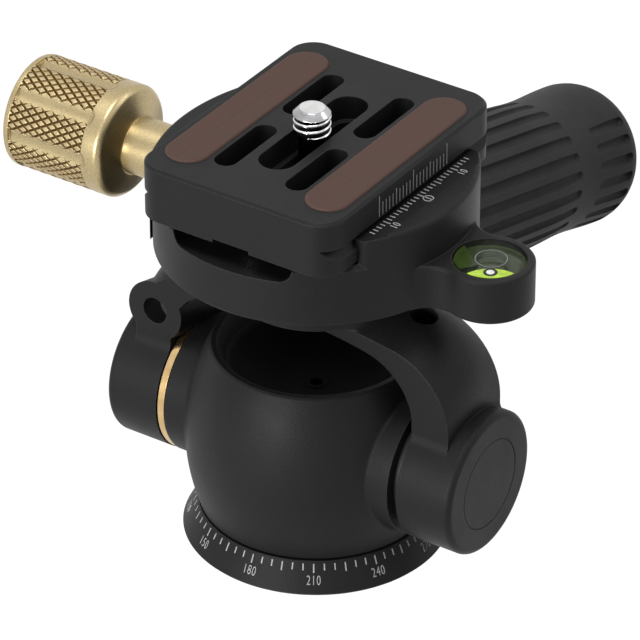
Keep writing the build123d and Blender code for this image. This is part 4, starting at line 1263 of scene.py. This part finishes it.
@dataclass
class KnurledKnob:
    """The gold clamping knob: turned neck and cone, diamond knurl and eight round flutes."""

    gold: bpy.types.Material
    groove_shade_gold: bpy.types.Material
    axis_z: float = 62.5
    seat_x: float = -26.4
    seat_round: float = 0.2
    neck_r: float = 5.0
    cone_x: float = -35.7
    cone_r: float = 5.3
    cone_round: float = 0.12
    rim_x: float = -37.1
    rim_l: float = 0.75
    rim_round: float = 0.405
    face_r: float = 9.1
    barrel_r: float = 9.85
    barrel_steps: int = 180
    grip_x: float = -40.7
    band_x: float = -55.8
    end_x: float = -56.8
    end_round: float = 0.35
    core_r: float = 9.15
    bore_r: float = 3.0
    bore_end_x: float = -50.0
    cells_round: int = 45
    cell_l: float = 2.25
    groove: float = 0.20
    knurl_h: float = 0.36
    knurl_sunk: float = 0.2
    dome: float = 0.06
    near: float = 0.002
    near_plane: float = 0.00001
    smooth_deg: float = 24.0
    flutes: int = 8
    flute_r: float = 3.4
    flute_depth: float = 0.55
    flute_end_x: float = -39.5
    flute_taper: float = 1.7
    flute_tip: float = 0.25
    flute_curve: float = 2.2
    flute_points: int = 8
    flute_steps: int = 72

    def build(self) -> bpy.types.Object:
        """Models the knob along Z and lays it on its axis.

        Returns:
            The knob in metres, in its place.
        """
        body = self.body()
        work(body, self.knurl(), Tooling.ADD)
        work(body, self.flute_cutters(), Tooling.CUT)
        tidy(body, self.near, self.smooth_deg)
        body.rotation_euler = (0, math.pi / 2, 0)
        settle(body)
        body.location = (0, 0, self.axis_z)
        body.name = "knurled_knob"
        return settle(body, MM)

    def body(self) -> bpy.types.Object:
        """Turns the knob's plain shape, with its bore for the screw.

        Returns:
            The turned body, standing along Z.
        """
        outline = [(self.bore_r, self.seat_x), (self.neck_r, self.seat_x), (self.neck_r, self.cone_x),
                   (self.cone_r, self.cone_x), (self.face_r, self.rim_x),
                   (self.barrel_r, self.rim_x - self.rim_l), (self.barrel_r, self.grip_x),
                   (self.core_r, self.grip_x), (self.core_r, self.band_x), (self.barrel_r, self.band_x),
                   (self.barrel_r, self.end_x), (0, self.end_x), (0, self.bore_end_x),
                   (self.bore_r, self.bore_end_x), (self.bore_r, self.seat_x)]
        rounds = {1: self.seat_round, 3: self.cone_round, 4: self.rim_round, 5: self.rim_round,
                  10: self.end_round}
        body = turned("knob_body", softened(outline, rounds), self.barrel_steps)
        body.data.materials.append(self.gold)
        body.data.materials.append(self.groove_shade_gold)
        return body

    def knurl(self) -> bpy.types.Object:
        """Presses the diamond pattern flat and rolls it into a solid drum.

        Returns:
            The knurled drum, standing along Z.
        """
        around = FULL_TURN * (self.barrel_r - self.knurl_h - self.dome)
        length = self.grip_x - self.band_x + 2 * self.knurl_sunk
        middle = (self.grip_x + self.band_x) / 2
        sheet = self.diamonds(around, length)
        roll = sheet.modifiers.new("roll", "SIMPLE_DEFORM")
        roll.deform_method = "BEND"
        roll.deform_axis = "Z"
        roll.angle = FULL_TURN
        only(sheet)
        bpy.ops.object.modifier_apply(modifier=roll.name)
        sheet.location = (0, -around / FULL_TURN, middle)
        settle(sheet)
        tidy(sheet, self.near)
        for end in (middle - length / 2, middle + length / 2):
            pick(sheet, lambda place: abs(place.z - end) < 2 * SAME_PLACE_MM)
            bpy.ops.mesh.edge_face_add()
            bpy.ops.object.mode_set(mode="OBJECT")
        return tidy(sheet)

    def diamonds(self, around: float, length: float) -> bpy.types.Object:
        """Presses the diamonds into a flat sheet.

        Args:
            around: the sheet's width, which becomes the way round the drum.
            length: the sheet's length, along the knob.
        Returns:
            The sheet in the XZ plane, with its grooves painted darker as shade.
        """
        cell_w = around / self.cells_round
        count = self.cells_round + math.ceil(length / self.cell_l) + 2
        count += count % 2
        bpy.ops.object.select_all(action="DESELECT")
        bpy.ops.mesh.primitive_grid_add(x_subdivisions=count, y_subdivisions=count, size=count / math.sqrt(2),
                                        rotation=(math.pi / 2, 0, 0))
        sheet = bpy.context.object
        settle(sheet)
        sheet.rotation_euler = (0, math.pi / 4, 0)
        settle(sheet)
        sheet.scale = (cell_w, 1, self.cell_l)
        settle(sheet)
        self.trim(sheet, around / 2 + 2 * cell_w, length / 2 + 2 * self.cell_l)
        sheet.data.materials.append(self.gold)
        sheet.data.materials.append(self.groove_shade_gold)
        pick(sheet, lambda place: True)
        bpy.ops.mesh.inset(thickness=self.groove, depth=self.knurl_h, use_individual=True)
        bpy.ops.mesh.poke(offset=self.dome)
        # Painted shade: the groove walls get the darker gold.
        bpy.ops.mesh.select_mode(type="FACE")
        bpy.ops.mesh.select_all(action="INVERT")
        sheet.active_material_index = 1
        bpy.ops.object.material_slot_assign()
        bpy.ops.object.mode_set(mode="OBJECT")
        self.trim(sheet, around / 2, length / 2)
        return sheet

    def trim(self, sheet: bpy.types.Object, half_width: float, half_length: float) -> None:
        """Cuts the flat pattern to a rectangle.

        Args:
            sheet: the pattern, in the XZ plane.
            half_width: half of what is kept along X.
            half_length: half of what is kept along Z.
        """
        for axis, half in (((1, 0, 0), half_width), (UP, half_length)):
            for side in (-1, 1):
                away = Vector(axis) * side
                slice_off(sheet, away * half, away, fill=False, near=self.near_plane)

    def flute_cutters(self) -> bpy.types.Object:
        """Models the round-ended bars that leave the flutes.

        Returns:
            The bars as one object, standing along Z.
        """
        thin = self.flute_r - self.flute_depth - self.flute_tip
        outline = [(0, self.band_x), (self.flute_r, self.band_x),
                   (self.flute_r, self.flute_end_x - self.flute_taper)]
        for index in range(self.flute_points):
            share = (index + 1) / self.flute_points
            x = self.flute_end_x - self.flute_taper * (1 - share)
            outline.append((self.flute_r - (self.flute_r - thin) * share ** self.flute_curve, x))
        outline.append((0, self.flute_end_x))
        bar = turned("flute_bar", outline, self.flute_steps)
        outward = Matrix.Translation((self.barrel_r - self.flute_depth + self.flute_r, 0, 0))
        turns = [index * FULL_TURN / self.flutes for index in range(self.flutes)]
        bars = [copy_of(bar, Matrix.Rotation(turn, 4, "Z") @ outward) for turn in turns]
        discard([bar])
        return join(bars, "flute_bars")


@dataclass
class TripodThread:
    """The 3/8 inch thread in the base's insert, seen from below."""

    bore_r: float = 4.76
    depth: float = 0.7
    sunk: float = 0.2
    proud: float = 0.05
    root_share: float = 0.8
    crest_share: float = 0.1
    pitch: float = 1.5875
    low: float = 0.3
    high: float = 9.4
    steps: int = 64

    def build(self) -> bpy.types.Object:
        """Winds the inner thread.

        Returns:
            The thread ridge in metres.
        """
        half = self.pitch / 2
        start = self.low - 2 * self.pitch
        back_r, foot_r, crest_r = self.bore_r + self.sunk, self.bore_r - self.proud, self.bore_r - self.depth
        foot, crest = half * self.root_share, half * self.crest_share
        outline = [(back_r, start - foot), (foot_r, start - foot), (crest_r, start - crest),
                   (crest_r, start + crest), (foot_r, start + foot), (back_r, start + foot),
                   (back_r, start - foot)]
        ridge = wound("tripod_thread", outline, self.pitch, (self.low, self.high), self.steps)
        return settle(tidy(ridge), MM)


@dataclass(frozen=True)
class Lamp:
    """A soft square lamp: its place in degrees, its power in watts, its side and distance in metres."""

    name: str
    azimuth: float
    elevation: float
    power: float
    size: float = 0.3
    distance: float = 1.0


@dataclass
class Studio:
    """A pale floor, soft lamps and the camera at the photograph's angle."""

    eye: tuple[float, float, float] = (416.9, -622.1, 517.3)
    aim: tuple[float, float, float] = (-8.38, 13.66, 30.15)
    lens_mm: float = 300.07
    sensor_mm: float = 36.0
    nearest: float = 0.05
    farthest: float = 50.0
    middle_z: float = 0.04
    floor_size: float = 12.0
    floor_z: float = -0.12
    room_light: float = 0.06
    floor_grey: float = 0.20
    floor_rough: float = 0.9
    floor_gloss: float = 0.1
    floor_glow: float = 0.93
    lamps: tuple[Lamp, ...] = (Lamp("key_lamp", -6, 8, 5.0, distance=0.9),
                               Lamp("left_lamp", -72, 66, 0.8, 0.5),
                               Lamp("side_lamp", 128, 36, 0.9),
                               Lamp("top_lamp", 20, 80, 4.5, 0.5))

    def camera(self) -> bpy.types.Object:
        """Sets up the camera.

        Returns:
            The camera object.
        """
        data = bpy.data.cameras.new("camera")
        data.lens = self.lens_mm
        data.sensor_width = self.sensor_mm
        data.clip_start = self.nearest
        data.clip_end = self.farthest
        camera = bpy.data.objects.new("camera", data)
        bpy.context.scene.collection.objects.link(camera)
        camera.location = Vector(self.eye) * MM
        back = (Vector(self.eye) - Vector(self.aim)).normalized()
        camera.rotation_mode = "QUATERNION"
        camera.rotation_quaternion = (-back).to_track_quat("-Z", "Y")
        bpy.context.scene.camera = camera
        return camera

    def seen(self, tree: bpy.types.NodeTree) -> bpy.types.NodeSocket:
        """Makes a mask that is 1 for what the camera, a reflection or a see-through part sees.

        Args:
            tree: the node tree that gets the nodes.
        Returns:
            The mask.
        """
        path = tree.nodes.new("ShaderNodeLightPath")
        value = path.outputs["Is Camera Ray"]
        for name in ("Is Glossy Ray", "Is Transmission Ray"):
            most = tree.nodes.new("ShaderNodeMath")
            most.operation = "MAXIMUM"
            tree.links.new(value, most.inputs[0])
            tree.links.new(path.outputs[name], most.inputs[1])
            value = most.outputs[0]
        return value

    def floor(self) -> bpy.types.Object:
        """Lays the white floor, which keeps the shadow, below the handle's lowest reach at any tilt.

        Returns:
            The floor object.
        """
        bpy.ops.object.select_all(action="DESELECT")
        bpy.ops.mesh.primitive_plane_add(size=self.floor_size, location=(0, 0, self.floor_z))
        floor = settle(bpy.context.object)
        floor.name = "floor"
        material = bpy.data.materials.new("floor_white")
        material.use_nodes = True
        tree = material.node_tree
        shader = tree.nodes["Principled BSDF"]
        shader.inputs["Base Color"].default_value = (self.floor_grey, self.floor_grey, self.floor_grey, 1)
        shader.inputs["Roughness"].default_value = self.floor_rough
        shader.inputs["Specular IOR Level"].default_value = self.floor_gloss
        shader.inputs["Emission Color"].default_value = (1, 1, 1, 1)
        share = tree.nodes.new("ShaderNodeMath")
        share.operation = "MULTIPLY"
        tree.links.new(self.seen(tree), share.inputs[0])
        share.inputs[1].default_value = self.floor_glow
        tree.links.new(share.outputs[0], shader.inputs["Emission Strength"])
        floor.data.materials.append(material)
        return floor

    def room(self) -> None:
        """Sets the world: white where it is seen, a soft grey light elsewhere."""
        world = bpy.data.worlds.new("room")
        world.use_nodes = True
        tree = world.node_tree
        sky = tree.nodes["Background"]
        sky.inputs["Color"].default_value = (1, 1, 1, 1)
        spread = tree.nodes.new("ShaderNodeMapRange")
        tree.links.new(self.seen(tree), spread.inputs["Value"])
        spread.inputs["To Min"].default_value = self.room_light
        spread.inputs["To Max"].default_value = 1.0
        tree.links.new(spread.outputs["Result"], sky.inputs["Strength"])
        bpy.context.scene.world = world

    def hang(self, plan: Lamp) -> bpy.types.Object:
        """Hangs a lamp that faces the object.

        Args:
            plan: what the lamp is and where it hangs.
        Returns:
            The lamp object.
        """
        turn, rise = math.radians(plan.azimuth), math.radians(plan.elevation)
        away = Vector((math.sin(turn) * math.cos(rise), -math.cos(turn) * math.cos(rise), math.sin(rise)))
        data = bpy.data.lights.new(plan.name, "AREA")
        data.shape = "SQUARE"
        data.size = plan.size
        data.energy = plan.power
        lamp = bpy.data.objects.new(plan.name, data)
        bpy.context.scene.collection.objects.link(lamp)
        lamp.location = Vector((0, 0, self.middle_z)) + away * plan.distance
        lamp.rotation_mode = "QUATERNION"
        lamp.rotation_quaternion = away.to_track_quat("Z", "Y")
        return lamp

    def build(self) -> None:
        """Sets the whole studio."""
        self.camera()
        self.floor()
        self.room()
        for plan in self.lamps:
            self.hang(plan)
        bpy.context.scene.view_settings.view_transform = "Standard"


@dataclass
class Dresser:
    """Hands every CAD node the finish of its slot, apart from the nodes that have one of their own."""

    nodes: dict[str, bpy.types.Object]
    finishes: dict[str, bpy.types.Material]
    own: dict[str, str] = field(default_factory=dict)

    def dress(self) -> None:
        """Puts the finishes on the nodes and logs them."""
        for name, node in sorted(self.nodes.items()):
            for slot in node.material_slots:
                finish = self.finishes[self.own.get(name, slot.material.name)]
                slot.material = finish
                log.info("%s: %s", name, finish.name)


def all_finishes() -> dict[str, bpy.types.Material]:
    """Makes every finish once.

    Returns:
        Slot name to material.
    """
    gold_look = {"metallic": 1.0, "specular": 0.5, "grain_mm": 0.16, "pit_mm": 0.014}
    made = [
        BlastedAnodising(),
        BlastedAnodising("dish_shaded_black", dish_r_mm=17.1),
        BlastedAnodising("gold_anodised", (198, 179, 136), (238, 221, 176), rough=(0.28, 0.38), edge_mm=0.18,
                         edge_share=0.7, **gold_look),
        # Painted shade for the knurl's grooves: a darker, duller gold.
        BlastedAnodising("gold_groove_shade", (140, 114, 72), (140, 114, 72), rough=(0.5, 0.6), edge_mm=0.10,
                         edge_share=0.0, **gold_look),
        TurnedMetal("brass", (214, 184, 136), (190, 158, 108)),
        TurnedMetal("steel", (176, 176, 178), (140, 140, 142), (0.28, 0.42)),
        TurnedMetal("polished_steel", (230, 230, 228), (206, 206, 206), (0.06, 0.12), ring_mm=0.05,
                    ring_depth_mm=0.0006),
        # Painted shade in the camera screw's thread roots and a painted dark reflection on its neck.
        TurnedMetal("thread_root_shade_neck_reflection", (20, 20, 21), (12, 12, 13), (0.3, 0.4)),
        # Painted shade: a greyer copy of the polished steel for the screw's chamfered ring.
        TurnedMetal("screw_chamfer_shade", (194, 194, 196), (160, 160, 162), (0.12, 0.2)),
        TurnedMetal("black_steel", (44, 44, 46), (30, 30, 32), (0.34, 0.46)),
        MouldedRubber("grip_rubber", (54, 54, 54), (66, 66, 65), specular=0.14),
        MouldedRubber("pad_rubber", (98, 77, 70), (106, 80, 73), (0.5, 0.62), grain_mm=0.16,
                      grain_depth_mm=0.002, specular=0.12),
        MouldedRubber("black_plastic", (40, 40, 41), (54, 54, 54), (0.4, 0.5), grain_mm=0.2,
                      grain_depth_mm=0.003, specular=0.45),
        LevelCupFinish(),
        ClearPart("level_liquid", (104, 118, 84), opacity=0.72),
        BubbleFinish(),
        ClearPart("lens", (92, 104, 80), opacity=0.12, rough=0.04),
        # Painted light: the lime sickle in the level glows by itself.
        ClearPart("level_glow", (206, 244, 62), opacity=1.0, rough=0.2, glow=0.45),
        # Painted reflection: the darker green patch in the level.
        ClearPart("level_painted_reflection", (72, 98, 24), opacity=0.7, rough=0.2),
        # Painted highlight on the sealing ball, which glows by itself.
        ClearPart("ball_shine", (250, 252, 248), opacity=1.0, rough=0.2, glow=0.6),
        ScalePaint(),
        # The printed ring on the lens; the same colour paints the dark reflection round the sealing ball.
        ScalePaint("ring_paint_and_ball_rim_reflection", (26, 28, 24), (18, 20, 16)),
    ]
    return {finish.name: finish.make() for finish in made}


def main() -> None:
    """Loads the frame, builds each sub-assembly in order and dresses it."""
    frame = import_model()
    finishes = all_finishes()
    # The housing and its grub screw get the painted shade inside the dish.
    dish_shaded = {"pan_housing": "dish_shaded_black", "shaft_grub_screw": "dish_shaded_black"}
    Dresser(frame["nodes"], finishes, dish_shaded).dress()
    paint_white = finishes["scale_paint"]
    marks = MarkMaker()
    hand_over(PanBase(marks).build(), "base", paint_white)
    hand_over(TripodThread().build(), "base", finishes["steel"])
    platform = ClampPlatform(marks)
    hand_over(platform.build_strip(), "fork", paint_white)
    hand_over(platform.build_circle(False), "fork", finishes["ring_paint_and_ball_rim_reflection"])
    # Painted highlight: a pale line on the black ring, in the scale paint.
    hand_over(platform.build_circle(True), "fork", paint_white)
    hand_over(platform.build_painted_glow(), "fork", finishes["level_glow"])
    hand_over(platform.build_painted_reflection(), "fork", finishes["level_painted_reflection"])
    hand_over(platform.build_ball_highlight(), "fork", finishes["ball_shine"])
    hand_over(platform.build_ball_rim_reflection(), "fork", finishes["ring_paint_and_ball_rim_reflection"])
    plate = CameraPlate(marks)
    hand_over(plate.build_wall_scale(), "plate", paint_white)
    for side in Side:
        replaced = ["rubber_pad_" + side.name.lower()]
        hand_over(plate.build_pad(side), "plate", finishes["pad_rubber"], replaced)
    polish, gold = finishes["polished_steel"], finishes["gold_anodised"]
    screw = CameraScrew(polish, finishes["thread_root_shade_neck_reflection"], finishes["screw_chamfer_shade"])
    hand_over(screw.build(), "camera_screw", polish, ["camera_screw"])
    knob = KnurledKnob(gold, finishes["gold_groove_shade"])
    hand_over(knob.build(), "knob", gold, ["clamp_knob"])
    Studio().build()


if __name__ == "__main__":
    logging.basicConfig(level=logging.INFO, format="%(name)s %(message)s")
    main()
